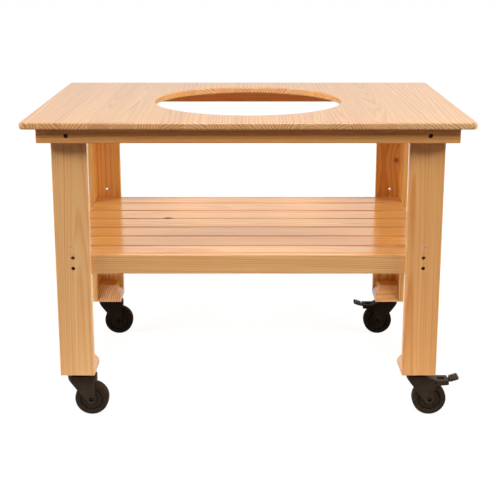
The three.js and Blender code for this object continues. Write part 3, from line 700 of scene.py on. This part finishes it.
def worktop():
    """The glued panel with its round cut-out, sliced where the staves meet."""
    low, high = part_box("table_top")
    profile = []
    for step in range(TOP_EASE_STEPS + 1):
        angle = math.pi / 2 * step / TOP_EASE_STEPS
        profile.append((TOP_EASE * (1 - math.sin(angle)), low.z + TOP_EASE * (1 - math.cos(angle))))
    profile += [(inset, low.z + high.z - height) for inset, height in reversed(profile)]
    outline = worktop_outline()
    builder = bmesh.new()
    outer, inner = [], []
    for inset, height in profile:
        outer.append([builder.verts.new((*(point - out * inset), height)) for point, out in outline])
        inner.append([builder.verts.new((*(point.normalized() * (CUTOUT_RADIUS + inset)), height))
                      for point, out in outline])
    count = len(outline)
    loop = outer + inner[::-1] + [outer[0]]
    for first, second in zip(loop, loop[1:]):
        for i in range(count):
            j = (i + 1) % count
            builder.faces.new((first[i], first[j], second[j], second[i]))
    for edge in STAVE_EDGES:
        bisect(builder, (edge, 0, 0), (1, 0, 0))
    piece = shade(piece_from("worktop", builder))
    edges = (low.x, *STAVE_EDGES, high.x)
    sides = list(zip(edges, edges[1:]))
    staves = [sawn_stave(number, left, right, low, high) for number, (left, right) in enumerate(sides)]
    centres = [polygon.center.x for polygon in piece.data.polygons]
    seams = [(0, left, right, 1) for left, right in sides]
    lay_grain(piece.data, staves, np.searchsorted(np.array(STAVE_EDGES), centres), seams)
    dress(piece, PINE, "frame", ["table_top"])


# Boards

def hole_cutter(radius, x, y_from, y_to, z, steps=40):
    profile = [(0, -y_to), (radius, -y_to), (radius, -y_from), (0, -y_from)]
    return piece_from("hole", turned(profile, steps, "Y", (x, 0, z)))


def wooden_board(node, seed, axis, width=BOARD_EASE, cutters=(), **sawn):
    low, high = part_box(node)
    piece = piece_from(f"{node}_wood", box_mesh(low, high, width))
    if cutters:
        combine(piece, "DIFFERENCE", *cutters)
    shade(piece)
    lay_grain(piece.data, [Board(seed, axis, (low + high) / 2, **sawn)])
    dress(piece, PINE, "frame", [node])


def rails():
    """Rails under the worktop. The front and the back one have a seat for each screw's head."""
    for side, name in ((-1, "front_rail"), (1, "back_rail")):
        face_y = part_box(name)[1].y if side > 0 else -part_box(name)[0].y
        screw = middle_of("back_right_rail_screw")
        cutters = []
        for x in (-screw.x, screw.x):
            ends = sorted((side * (face_y - SCREW_SEAT_DEPTH), side * (face_y + CUT_THROUGH)))
            cutters.append(hole_cutter(SCREW_SEAT_RADIUS, x, *ends, screw.z))
        # The back rail's high tone is painted light on its shaded inner face; the front rail's warmth below 0
        # is redder painted shade under the worktop.
        wooden_board(name, 11 + side, "X", cutters=cutters, figure=0.7, tone=2.0 + 0.9 * side,
                     warmth=0.45 * side - 0.15)
    wooden_board("left_rail", 21, "Y")
    wooden_board("right_rail", 22, "Y")


# Each leg's face board and side board. The back boards' warmth is painted warm shade inside the frame, and
# the back left face board's tone of 3 is painted light.
FRONT_SIDE, BACK_SIDE = dict(tone=-1.0, warmth=-0.35), dict(tone=0.8, warmth=0.6)
LEG_LOOKS = {
    "front_left": (dict(heart=(0.020, 0.075), lean=(0.004, 0.006), wave=0.3, tone=1.2, figure=0.6,
                        density=2.3, warmth=-0.1), FRONT_SIDE),
    "front_right": (dict(heart=(-0.030, 0.080), lean=(-0.005, 0.004), wave=0.3, tone=1.0, figure=0.6,
                         density=2.5, warmth=-0.42), FRONT_SIDE),
    "back_left": (dict(heart=(0.045, 0.060), tone=3.0, figure=1.05, warmth=0.8), BACK_SIDE),
    "back_right": (dict(heart=(-0.015, 0.055), tone=0.5, figure=1.25, warmth=0.9,
                        knots=(((0.4985, 0.328, 0.6060), 0.0048, "Y"),)), BACK_SIDE),
}


def legs():
    """Face board with its row of shelf holes, side board and foot block, four times."""
    for number, (corner, (side_x, side_y, *_)) in enumerate(CORNERS.items()):
        node = f"{corner}_leg_face_board"
        low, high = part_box(node)
        lowest = middle_of(f"{corner}_shelf_bolt").z
        cutters = [hole_cutter(radius, (low.x + high.x) / 2, low.y - CUT_THROUGH, high.y + CUT_THROUGH,
                               lowest + step * BOLT_ROW_PITCH)
                   for step, radius in enumerate(BOLT_HOLE_RADIUS[side_y])]
        face, side = LEG_LOOKS[corner]
        wooden_board(node, 30 + number, "Z", cutters=cutters, **face)
        wooden_board(f"{corner}_leg_side_board", 34 + number, "Z", **side)
        foot_block(corner, side_x, side_y, 60 + number)


def foot_block(corner, side_x, side_y, seed):
    """Block in the leg's inner corner, bevelled on its two free sides."""
    node = f"{corner}_foot_block"
    low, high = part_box(node)
    builder = box_mesh(low, high)
    inner_x = low.x if side_x > 0 else high.x
    inner_y = low.y if side_y > 0 else high.y
    slope = Vector((BLOCK_BEVEL_RISE, BLOCK_BEVEL_RUN)).normalized()
    for point, normal in (((inner_x, 0, low.z + BLOCK_SIDE_BAND), (-side_x * slope.x, 0, slope.y)),
                          ((0, inner_y, low.z + BLOCK_LIP), (0, -side_y * slope.x, slope.y))):
        bisect(builder, Vector(point), Vector(normal), clear_outer=True)
        bmesh.ops.holes_fill(builder, edges=[edge for edge in builder.edges if edge.is_boundary], sides=0)
    ease(builder, builder.edges[:], BLOCK_EASE, 3)
    piece = shade(piece_from(f"{node}_wood", builder))
    axis = "Y" if side_x < 0 else "X"
    tone = 0.4 + 0.6 * (side_x > 0)
    lay_grain(piece.data, [Board(seed, axis, (low + high) / 2, heart=(0.055, -0.02), figure=0.7, tone=tone)])
    dress(piece, PINE, "frame", [node])


# Shelf

def new_tree(name, sizes):
    """A geometry node tree with one named input for each size, and its group nodes."""
    tree = bpy.data.node_groups.new(name, "GeometryNodeTree")
    tree.interface.new_socket("Geometry", in_out="INPUT", socket_type="NodeSocketGeometry")
    for label, value in sizes.items():
        kind = "NodeSocketInt" if isinstance(value, int) else "NodeSocketFloat"
        tree.interface.new_socket(label, in_out="INPUT", socket_type=kind)
    tree.interface.new_socket("Geometry", in_out="OUTPUT", socket_type="NodeSocketGeometry")
    nodes = Nodes(tree)
    return nodes, nodes.add("NodeGroupInput").outputs


def grow(name, nodes, geometry, material, sizes):
    """Ends a tree, runs it with its sizes on a new object and keeps the result as a plain mesh."""
    real = nodes.get("GeometryNodeRealizeInstances", {"Geometry": geometry})
    dressed = nodes.get("GeometryNodeSetMaterial", {"Geometry": real, "Material": material})
    nodes.add("NodeGroupOutput", {"Geometry": dressed})
    piece = link(name, bpy.data.meshes.new(name))
    grown = piece.modifiers.new("made by rule", "NODES")
    grown.node_group = nodes.tree
    for item in nodes.tree.interface.items_tree:
        if item.in_out == "INPUT" and item.name in sizes:
            grown[item.identifier] = sizes[item.name]
    return make_plain(piece)


def row_of_slats():
    """Slats side by side across the shelf, the two end ones narrower."""
    nodes_replaced = [f"shelf_slat_{i + 1}" for i in range(SHELF_ROWS)]
    rows = [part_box(node) for node in nodes_replaced]
    (first_low, first_high), (second_low, second_high) = rows[:2]
    sizes = {
        "Slats": SHELF_ROWS,
        "Length": first_high.x - first_low.x,
        "Thickness": first_high.z - first_low.z,
        "Full Width": second_high.y - second_low.y,
        "End Width": first_high.y - first_low.y,
        "Gap": SHELF_GAP,
        "Height": (first_low.z + first_high.z) / 2,
    }
    n, given = new_tree("row_of_slats", sizes)
    pitch = n.plus(given["Full Width"], given["Gap"])
    half_count = n.times(n.minus(given["Slats"], 1.0), 0.5)
    number = n.minus(n.get("GeometryNodeInputIndex"), half_count)
    is_end = n.math("COMPARE", n.math("ABSOLUTE", number), half_count, 0.1)
    full_half = n.minus(n.times(pitch, half_count), n.times(given["Full Width"], 0.5))
    end_middle = n.plus(full_half, n.times(given["End Width"], 0.5))

    def choose(at_end, elsewhere):
        inputs = {"Switch": is_end, "False": elsewhere, "True": at_end}
        return n.get("GeometryNodeSwitch", inputs, input_type="FLOAT")

    place_y = choose(n.times(n.math("SIGN", number), end_middle), n.times(number, pitch))
    line = n.get("GeometryNodeMeshLine", {"Count": given["Slats"]})
    place = n.joined(y=place_y, z=given["Height"])
    spots = n.get("GeometryNodeSetPosition", {"Geometry": line, "Position": place})
    size = n.joined(given["Length"], choose(given["End Width"], given["Full Width"]), given["Thickness"])
    cube = n.get("GeometryNodeMeshCube", {"Size": (1.0, 1.0, 1.0)})
    slats = n.get("GeometryNodeInstanceOnPoints", {"Points": spots, "Instance": cube, "Scale": size})
    piece = grow("shelf_slats", n, slats, PINE, sizes)
    shade(round_edges(piece, SLAT_EASE, 4))
    boards = [Board(70 + i, "X", (low + high) / 2, tone=SLAT_TONES[i], figure=0.7,
                    warmth=SLAT_WARMTH if i else FRONT_SLAT_WARMTH, knots=SLAT_KNOTS.get(i, ()))
              for i, (low, high) in enumerate(rows)]
    edges = np.array([(rows[i][1].y + rows[i + 1][0].y) / 2 for i in range(SHELF_ROWS - 1)])
    # The -1 seams carry painted shade along each slat's edges at the gaps.
    seams = [(1, low.y, high.y, -1) for low, high in rows]
    lay_grain(piece.data, boards, np.searchsorted(edges, [p.center.y for p in piece.data.polygons]), seams)
    dress(piece, PINE, "frame", nodes_replaced)


def shelf():
    row_of_slats()
    wooden_board("shelf_front_rail", 81, "X", tone=0.55, figure=0.75)
    wooden_board("shelf_back_rail", 82, "X")
    for number, name in enumerate(("left", "middle", "right")):
        wooden_board(f"shelf_batten_{name}", 84 + number, "Y", BATTEN_EASE)


# Screws and bolts

def fasteners(name, node, head_radius, head_depth, shank_radius, socket_depth):
    """Four turned fasteners with a six-sided socket, two to the front and two to the back."""
    low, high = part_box(f"back_right_{node}")
    sizes = {
        "Spacing X": low.x + high.x, "Spacing Y": 2 * high.y, "Height": (low.z + high.z) / 2,
        "Head Radius": head_radius, "Head Depth": head_depth,
        "Shank Radius": shank_radius, "Shank Length": high.y - low.y - head_depth,
        "Socket Radius": SOCKET_RADIUS, "Socket Depth": socket_depth,
    }
    n, given = new_tree(name, sizes)
    spots = n.get("GeometryNodeMeshGrid", {"Size X": given["Spacing X"], "Size Y": given["Spacing Y"],
                                           "Vertices X": 2, "Vertices Y": 2})
    spots = n.get("GeometryNodeSetPosition", {"Geometry": spots, "Offset": n.joined(z=given["Height"])})

    def rod(radius, length, start, sides):
        bar = n.get("GeometryNodeMeshCylinder", {"Vertices": sides, "Radius": radius, "Depth": length})
        move = n.joined(z=n.minus(n.times(length, -0.5), start))
        return n.get("GeometryNodeTransform", {"Geometry": bar, "Translation": move})

    head = rod(given["Head Radius"], given["Head Depth"], 0.0, 48)
    socket = rod(given["Socket Radius"], n.times(given["Socket Depth"], 2.0),
                 n.times(given["Socket Depth"], -1.0), 6)
    shank = rod(given["Shank Radius"], given["Shank Length"], given["Head Depth"], 24)
    both = n.add("GeometryNodeJoinGeometry")
    for part in (head, shank):
        n.set(both, 0, part)
    cut_out = n.get("GeometryNodeMeshBoolean", {0: both.outputs[0], 1: socket}, operation="DIFFERENCE",
                    solver="EXACT")
    place_y = n.parts(n.get("GeometryNodeInputPosition"))[1]
    turn = n.joined(n.times(n.math("SIGN", place_y), -math.pi / 2))
    rotation = n.get("FunctionNodeEulerToRotation", {0: turn})
    placed = {"Points": spots, "Instance": cut_out, "Rotation": rotation}
    piece = grow(name, n, n.get("GeometryNodeInstanceOnPoints", placed), STEEL[-1], sizes)
    shade(round_edges(piece, FASTENER_EASE, 2, 50), 50)
    dress(piece, STEEL[-1], "frame", [f"{corner}_{node}" for corner in CORNERS])


def screws_and_bolts():
    fasteners("rail_screws", "rail_screw", SCREW_HEAD_RADIUS, SCREW_HEAD_DEPTH, SCREW_SHANK_RADIUS,
              SOCKET_DEPTH * SCREW_SOCKET_SHARE)
    low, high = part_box("back_right_shelf_bolt")
    fasteners("shelf_bolts", "shelf_bolt", BOLT_RADIUS, (high.y - low.y) * BOLT_HEAD_SHARE,
              BOLT_RADIUS * BOLT_SHANK_SHARE, SOCKET_DEPTH)


# Casters

def fit(corner, piece, coats, part, slot, *nodes):
    """Moves a caster's piece from the swivel axis to its corner and dresses it. Part and nodes are named
    without the corner. What rides on the frame isn't turned with the caster."""
    side_x, side_y, _, turns = CORNERS[corner]
    body, turns = ("frame", 0) if part == "frame" else (f"{corner}_{part}", turns)
    stem_middle = middle_of("back_right_caster_stem")
    move = Matrix.Translation((side_x * stem_middle.x, side_y * stem_middle.y, 0))
    piece.data.transform(move @ Matrix.Rotation(math.pi * turns, 4, "Z"))
    dress(piece, coats[side_y], body, [f"{corner}_{node}" for node in nodes])


def fit_turned(corner, name, shape, coats, part, slot, *nodes):
    fit(corner, shade(piece_from(f"{corner}_{name}", turned(*shape))), coats, part, slot, *nodes)


def fork_side(braked):
    """The fork from the side: (x, z) from the front down round the cheek's foot and up the rear."""
    fall_x, fall_z = TRAIL + CROWN_FRONT, CROWN_FRONT_LOW - WHEEL_RADIUS
    reach = math.hypot(fall_x, fall_z)
    tangent = math.atan2(-fall_z, fall_x) - math.asin(CHEEK_FOOT_RADIUS / reach) - math.pi / 2
    foot = arc(TRAIL, WHEEL_RADIUS, CHEEK_FOOT_RADIUS, tangent, 0, 18)
    front = [(-CROWN_FRONT, CROWN_TOP), (-CROWN_FRONT, CROWN_FRONT_LOW)]
    if not braked:
        heel = arc(CROWN_REAR + 0.0007, CHEEK_REAR_LOW - 0.004, HEEL_RADIUS, math.pi, math.pi * 0.6, 4)
        return front + foot + heel + [(CROWN_REAR, CROWN_TOP)]
    throat = arc(*THROAT_CENTRE, THROAT_RADIUS, math.pi, math.pi * 0.53, 8)
    tail = [(0.072, 0.0917), (HOUSING_END - 0.004, 0.0928)]
    tail += arc(HOUSING_END - LIP_RADIUS, 0.0958, LIP_RADIUS, -math.pi / 2, 0, 4)
    return front + foot + throat + tail + [(HOUSING_END, HOUSING_TOP), (HOUSING_SLOPE[1], HOUSING_TOP),
                                           (HOUSING_SLOPE[0], CROWN_TOP)]


def fold_shoulders(shell):
    """Rounds the edges between the fork's top and its sides, but not those at the housing's end."""
    fold = bmesh.new()
    fold.from_mesh(shell.data)
    bmesh.ops.remove_doubles(fold, verts=fold.verts, dist=1e-6)
    bends = [edge for edge in fold.edges if len(edge.link_faces) == 2
             and max(face.normal.z for face in edge.link_faces) > 0.6
             and min(abs(face.normal.z) for face in edge.link_faces) < 0.2
             and max(end_point.co.x for end_point in edge.verts) < HOUSING_END - 0.001]
    ease(fold, bends, FOLD_RADIUS, 4)
    fold.to_mesh(shell.data)
    fold.free()


def fork(corner, braked):
    """Pressed fork with folded shoulders and a raised ball race."""
    low = WHEEL_RADIUS - CHEEK_FOOT_RADIUS - CUT_THROUGH
    outer = FORK_GAP_HALF + FORK_SHEET
    end = HOUSING_END + CROWN_CORNER if braked else CROWN_REAR
    plan = rounded_plan(-CROWN_FRONT, end, outer, CROWN_CORNER)
    shell = piece_from(f"{corner}_fork_pressing", slab(plan, low, CROWN_TOP + CUT_THROUGH, "Z"))
    side = piece_from("side", slab(fork_side(braked), -outer - 0.01, outer + 0.01, "Y"))
    number_again(combine(shell, "INTERSECT", side))
    fold_shoulders(shell)

    inner_end = end if braked else CROWN_REAR - FORK_SHEET
    plan = rounded_plan(FORK_SHEET - CROWN_FRONT, inner_end, FORK_GAP_HALF, CROWN_CORNER - FORK_SHEET)
    inner = piece_from("inner", slab(plan, low - 2 * CUT_THROUGH, CROWN_TOP, "Z"))
    roof = [(-CROWN_FRONT, CROWN_TOP - FORK_SHEET)]
    if braked:
        roof += [(HOUSING_SLOPE[0], CROWN_TOP - FORK_SHEET), (HOUSING_SLOPE[1], HOUSING_TOP - FORK_SHEET),
                 (end + CUT_THROUGH, HOUSING_TOP - FORK_SHEET)]
    else:
        roof += [(end, CROWN_TOP - FORK_SHEET)]
    under = [(-CROWN_FRONT, low - CUT_THROUGH), (end + CUT_THROUGH, low - CUT_THROUGH)]
    below = piece_from("below", slab(under + roof[::-1], -0.05, 0.05, "Y"))
    number_again(combine(inner, "INTERSECT", below))
    wheel_room = piece_from("wheel_room", box_mesh((-0.1, -FORK_GAP_HALF, low - 2 * CUT_THROUGH),
                                                   (0.13, FORK_GAP_HALF, CHEEK_REAR_LOW)))
    axle_bore = hole_cutter(AXLE_BORE_RADIUS, TRAIL, -0.03, 0.03, WHEEL_RADIUS, 48)
    cutters = [inner, wheel_room, axle_bore]
    if braked:
        plan = rounded_plan(*WINDOW_ENDS, WINDOW_HALF, WINDOW_CORNER, 4)
        cutters.append(piece_from("window", slab(plan, HOUSING_TOP - 0.006, CROWN_TOP, "Z")))
        cutters.append(hole_cutter(PIN_RADIUS + PIN_PLAY, PIN_X, -0.03, 0.03, PIN_HEIGHT, 24))
    for cutter in cutters:
        number_again(combine(shell, "DIFFERENCE", cutter))
    shade(round_edges(shell, PRESSED_EASE, 2, 50), 45)
    fit(corner, shell, STEEL, "fork", "black_steel", "caster_fork")
    race = [(radius, CROWN_TOP + rise) for radius, rise in BALL_RACE]
    fit_turned(corner, "ball_race", (race, 72, "Z"), STEEL, "fork", "black_steel")


def stem(corner):
    """Flange, threaded shank in the block and the rivet that the fork turns on."""
    flange_low = CASTER_HEIGHT - 0.0032
    rivet_top = CROWN_TOP - FORK_SHEET - 0.0003
    profile = [(0.0, rivet_top - 0.0040), (0.0062, rivet_top - 0.0040), (0.0088, rivet_top - 0.0028),
               (0.0100, rivet_top - 0.0010), (0.0100, rivet_top), (0.0058, rivet_top), (0.0058, flange_low),
               (0.0262, flange_low), (0.0270, flange_low + 0.0007), (0.0270, CASTER_HEIGHT - 0.0006),
               (0.0264, CASTER_HEIGHT), (0.0060, CASTER_HEIGHT), (0.0060, CASTER_HEIGHT + 0.0285),
               (0.0045, CASTER_HEIGHT + 0.0300), (0.0, CASTER_HEIGHT + 0.0300)]
    fit_turned(corner, "stem_and_flange", (profile, 72, "Z"), STEEL, "frame", "black_steel", "caster_stem")


def mirrored(half, middle=()):
    return [*half, *middle, *((radius, -height) for radius, height in reversed(half))]


def wheel(corner):
    """Tyre with round shoulders and a groove beside the hub, the hub's flat disc and boss, and the axle."""
    place = (TRAIL, 0, WHEEL_RADIUS)
    bore, half = TYRE_INNER_RADIUS, WHEEL_HALF
    shoulder = arc(WHEEL_RADIUS - 0.0052, half - TYRE_SHOULDER, TYRE_SHOULDER, math.pi / 2, math.pi * 0.06, 7)
    profile = [(bore, half - 0.0050), (bore + 0.0004, half - 0.0016), (bore + 0.0010, half - 0.0004),
               (bore + 0.0018, half), *shoulder, (WHEEL_RADIUS - 0.0002, half * 0.38)]
    profile = [(bore, 0.0), *mirrored(profile, [(WHEEL_RADIUS, 0.0)])]
    fit_turned(corner, "tyre", (profile, 112, "Y", place), RUBBER, "wheel", "tyre", "caster_tyre")

    rim, face = TYRE_INNER_RADIUS - 0.0003, WHEEL_HALF - 0.0010
    bore, boss = AXLE_BORE_RADIUS, FORK_GAP_HALF - 0.0003
    profile = [(bore, boss - 0.0005), (bore + 0.0005, boss), (0.0125, boss), (0.0130, boss - 0.0005),
               (0.0130, face - 0.0004), (0.0138, face - 0.0010), (0.0160, face - 0.0010),
               (0.0168, face - 0.0002), (rim - 0.0024, face), (rim - 0.0015, face - 0.0004),
               (rim - 0.0010, face - 0.0016), (rim - 0.0008, face - 0.0040), (rim, face - 0.0044)]
    profile = mirrored(profile)
    fit_turned(corner, "hub", (profile, 96, "Y", place), PLASTIC, "wheel", "black_plastic", "caster_hub")

    end = AXLE_END
    profile = [(0.0, end - 0.0006), (0.0030, end - 0.0006), (0.0036, end - 0.0012), (0.0036, end - 0.0042),
               (0.0054, end - 0.0042), (AXLE_RADIUS, end - 0.0048)]
    profile = mirrored(profile)
    fit_turned(corner, "axle", (profile, 48, "Y", place), STEEL, "fork", "black_steel", "caster_axle")


def tread_ribs(name):
    """Ribs side by side across the pedal, made by rule."""
    n, given = new_tree("pedal_ribs", TREAD_SIZES)
    start = n.times(n.times(n.minus(given["Ribs"], 1.0), -0.5), given["Pitch"])
    line = n.get("GeometryNodeMeshLine", {"Count": given["Ribs"], "Start Location": n.joined(start),
                                          "Offset": n.joined(given["Pitch"])})
    size = n.joined(given["Rib Width"], given["Rib Length"], given["Rib Height"])
    bar = n.get("GeometryNodeMeshCube", {"Size": size})
    ribs = n.get("GeometryNodeInstanceOnPoints", {"Points": line, "Instance": bar})
    return round_edges(grow(name, n, ribs, SCUFF_AND_HIGHLIGHT, TREAD_SIZES), RIB_EASE, 3)


def pedal(corner):
    """Brake pedal: the ribbed tread, the arm with its shoe, and the pin."""
    seat = Matrix.Translation(TREAD_PLACE) @ Matrix.Rotation(-TREAD_TILT, 4, "Y")
    plan = rounded_plan(-TREAD_LENGTH / 2, TREAD_LENGTH / 2, TREAD_HALF, TREAD_CORNER, 6)
    plate = piece_from(f"{corner}_pedal_tread", slab(plan, *TREAD_LEVELS, "Z"))
    round_edges(plate, TREAD_EASE, 3, 50).data.transform(seat)
    ribs = tread_ribs(f"{corner}_tread_ribs")
    ribs.data.transform(seat @ Matrix.Translation((0, 0, RIB_LIFT)))
    fit(corner, shade(plate), PLASTIC, "pedal", "black_plastic", "brake_pedal")
    # The ribs' paler coat is partly painted highlight.
    fit(corner, shade(ribs), {-1: SCUFF_AND_HIGHLIGHT, 1: SCUFF_AND_HIGHLIGHT}, "pedal", "black_plastic")

    arm = number_again(piece_from(f"{corner}_pedal_arm", slab(SHOE_AND_ARM, -ARM_HALF, ARM_HALF, "Y")))
    fit(corner, shade(round_edges(arm, ARM_EASE, 2, 30)), STEEL, "pedal", "black_steel")
    pin = (PIN_PROFILE, 32, "Y", (PIN_X, 0, PIN_HEIGHT))
    fit_turned(corner, "pedal_pin", pin, STEEL, "pedal", "black_steel")


def casters():
    for corner, (_, _, braked, _) in CORNERS.items():
        stem(corner)
        fork(corner, braked)
        wheel(corner)
        if braked:
            pedal(corner)


# Floor, light and camera

def sight(n, behind):
    """1 where the camera sees straight or in a shiny or clear surface, and how white that shows: fully,
    or behind's share of it in such a surface."""
    path = n.add("ShaderNodeLightPath").outputs
    straight, in_gloss = path["Is Camera Ray"], n.larger(path["Is Glossy Ray"], path["Is Transmission Ray"])
    return n.larger(straight, in_gloss), n.larger(straight, n.times(in_gloss, behind))


def pale_floor():
    """White to the camera, and in gloss behind the table; it throws most light back close to the table."""
    material, n = new_material("pale_floor")
    place = n.object_place()
    away = n.vector("LENGTH", place)
    seen, white = sight(n, n.spread(n.parts(place)[1], *FLOOR_GLOSS_DEPTHS, FRONT_GLOSS, FLOOR_GLOSS))
    bounce = n.times(n.minus(1.0, seen), n.spread(away, *FLOOR_REACH, *FLOOR_BOUNCE))
    grey = n.plus(n.times(seen, FLOOR_GREY), bounce)
    grey = n.get("ShaderNodeCombineColor", {0: grey, 1: grey, 2: grey})
    matt = n.get("ShaderNodeBsdfDiffuse", {"Color": grey})
    glow = n.times(white, n.spread(away, *FLOOR_GLOW_REACH, *FLOOR_GLOW))
    glow = n.get("ShaderNodeEmission", {"Color": WHITE, "Strength": glow})
    finish_material(n, n.get("ShaderNodeAddShader", {0: matt, 1: glow}))
    builder = bmesh.new()
    bmesh.ops.create_grid(builder, x_segments=1, y_segments=1, size=FLOOR_HALF)
    floor = piece_from("floor", builder)
    floor.data.materials.append(material)


def studio_world():
    """White where it is seen, dimmer in gloss towards the front, high up and near the horizon, and a low
    warm light elsewhere."""
    world = bpy.data.worlds.new("studio")
    bpy.context.scene.world = world
    world.use_nodes = True
    world.node_tree.nodes.clear()
    n = Nodes(world.node_tree)
    _, depth, height = n.parts(n.add("ShaderNodeTexCoord").outputs["Generated"])
    behind = n.spread(depth, *SKY_GLOSS_DEPTHS, FRONT_GLOSS, 1.0)
    behind = n.times(behind, n.spread(height, *LOW_SKY, LOW_GLOSS, 1.0))
    seen, white = sight(n, n.times(behind, n.spread(height, *HIGH_SKY, 1.0, CEILING_GLOSS)))
    strength = n.plus(white, n.times(n.minus(1.0, seen), AMBIENT_STRENGTH))
    sky = n.get("ShaderNodeBackground", {"Color": n.blend(seen, AMBIENT, WHITE), "Strength": strength})
    n.add("ShaderNodeOutputWorld", {"Surface": sky})


def lamp(name, azimuth, elevation, size, power, glossy):
    """An area lamp that looks at the middle of the table."""
    turn, rise = math.radians(azimuth), math.radians(elevation)
    level = LAMP_DISTANCE * math.cos(rise)
    place = (level * math.sin(turn), -level * math.cos(turn), LAMP_AIM[2] + LAMP_DISTANCE * math.sin(rise))
    light = bpy.data.lights.new(name, "AREA")
    light.shape = "RECTANGLE"
    light.size, light.size_y = size
    light.energy = power
    holder = link(name, light)
    holder.location = place
    holder.rotation_euler = (Vector(LAMP_AIM) - Vector(place)).to_track_quat("-Z", "Y").to_euler()
    holder.visible_camera = False
    holder.visible_glossy = glossy


def light_and_camera():
    for name, settings in LAMPS.items():
        lamp(name, *settings)
    lens = bpy.data.cameras.new("camera")
    lens.sensor_width = SENSOR_WIDTH
    lens.lens = FOCAL_PIXELS / PICTURE_PIXELS * SENSOR_WIDTH
    lens.shift_x, lens.shift_y = CAMERA_SHIFT
    holder = link("camera", lens)
    holder.location = CAMERA_PLACE
    holder.rotation_euler = (math.pi / 2 - CAMERA_DIP, 0.0, 0.0)
    bpy.context.scene.camera = holder


light_and_camera()
studio_world()
pale_floor()
worktop()
rails()
legs()
shelf()
screws_and_bolts()
casters()

bpy.context.scene.view_settings.view_transform = "Standard"
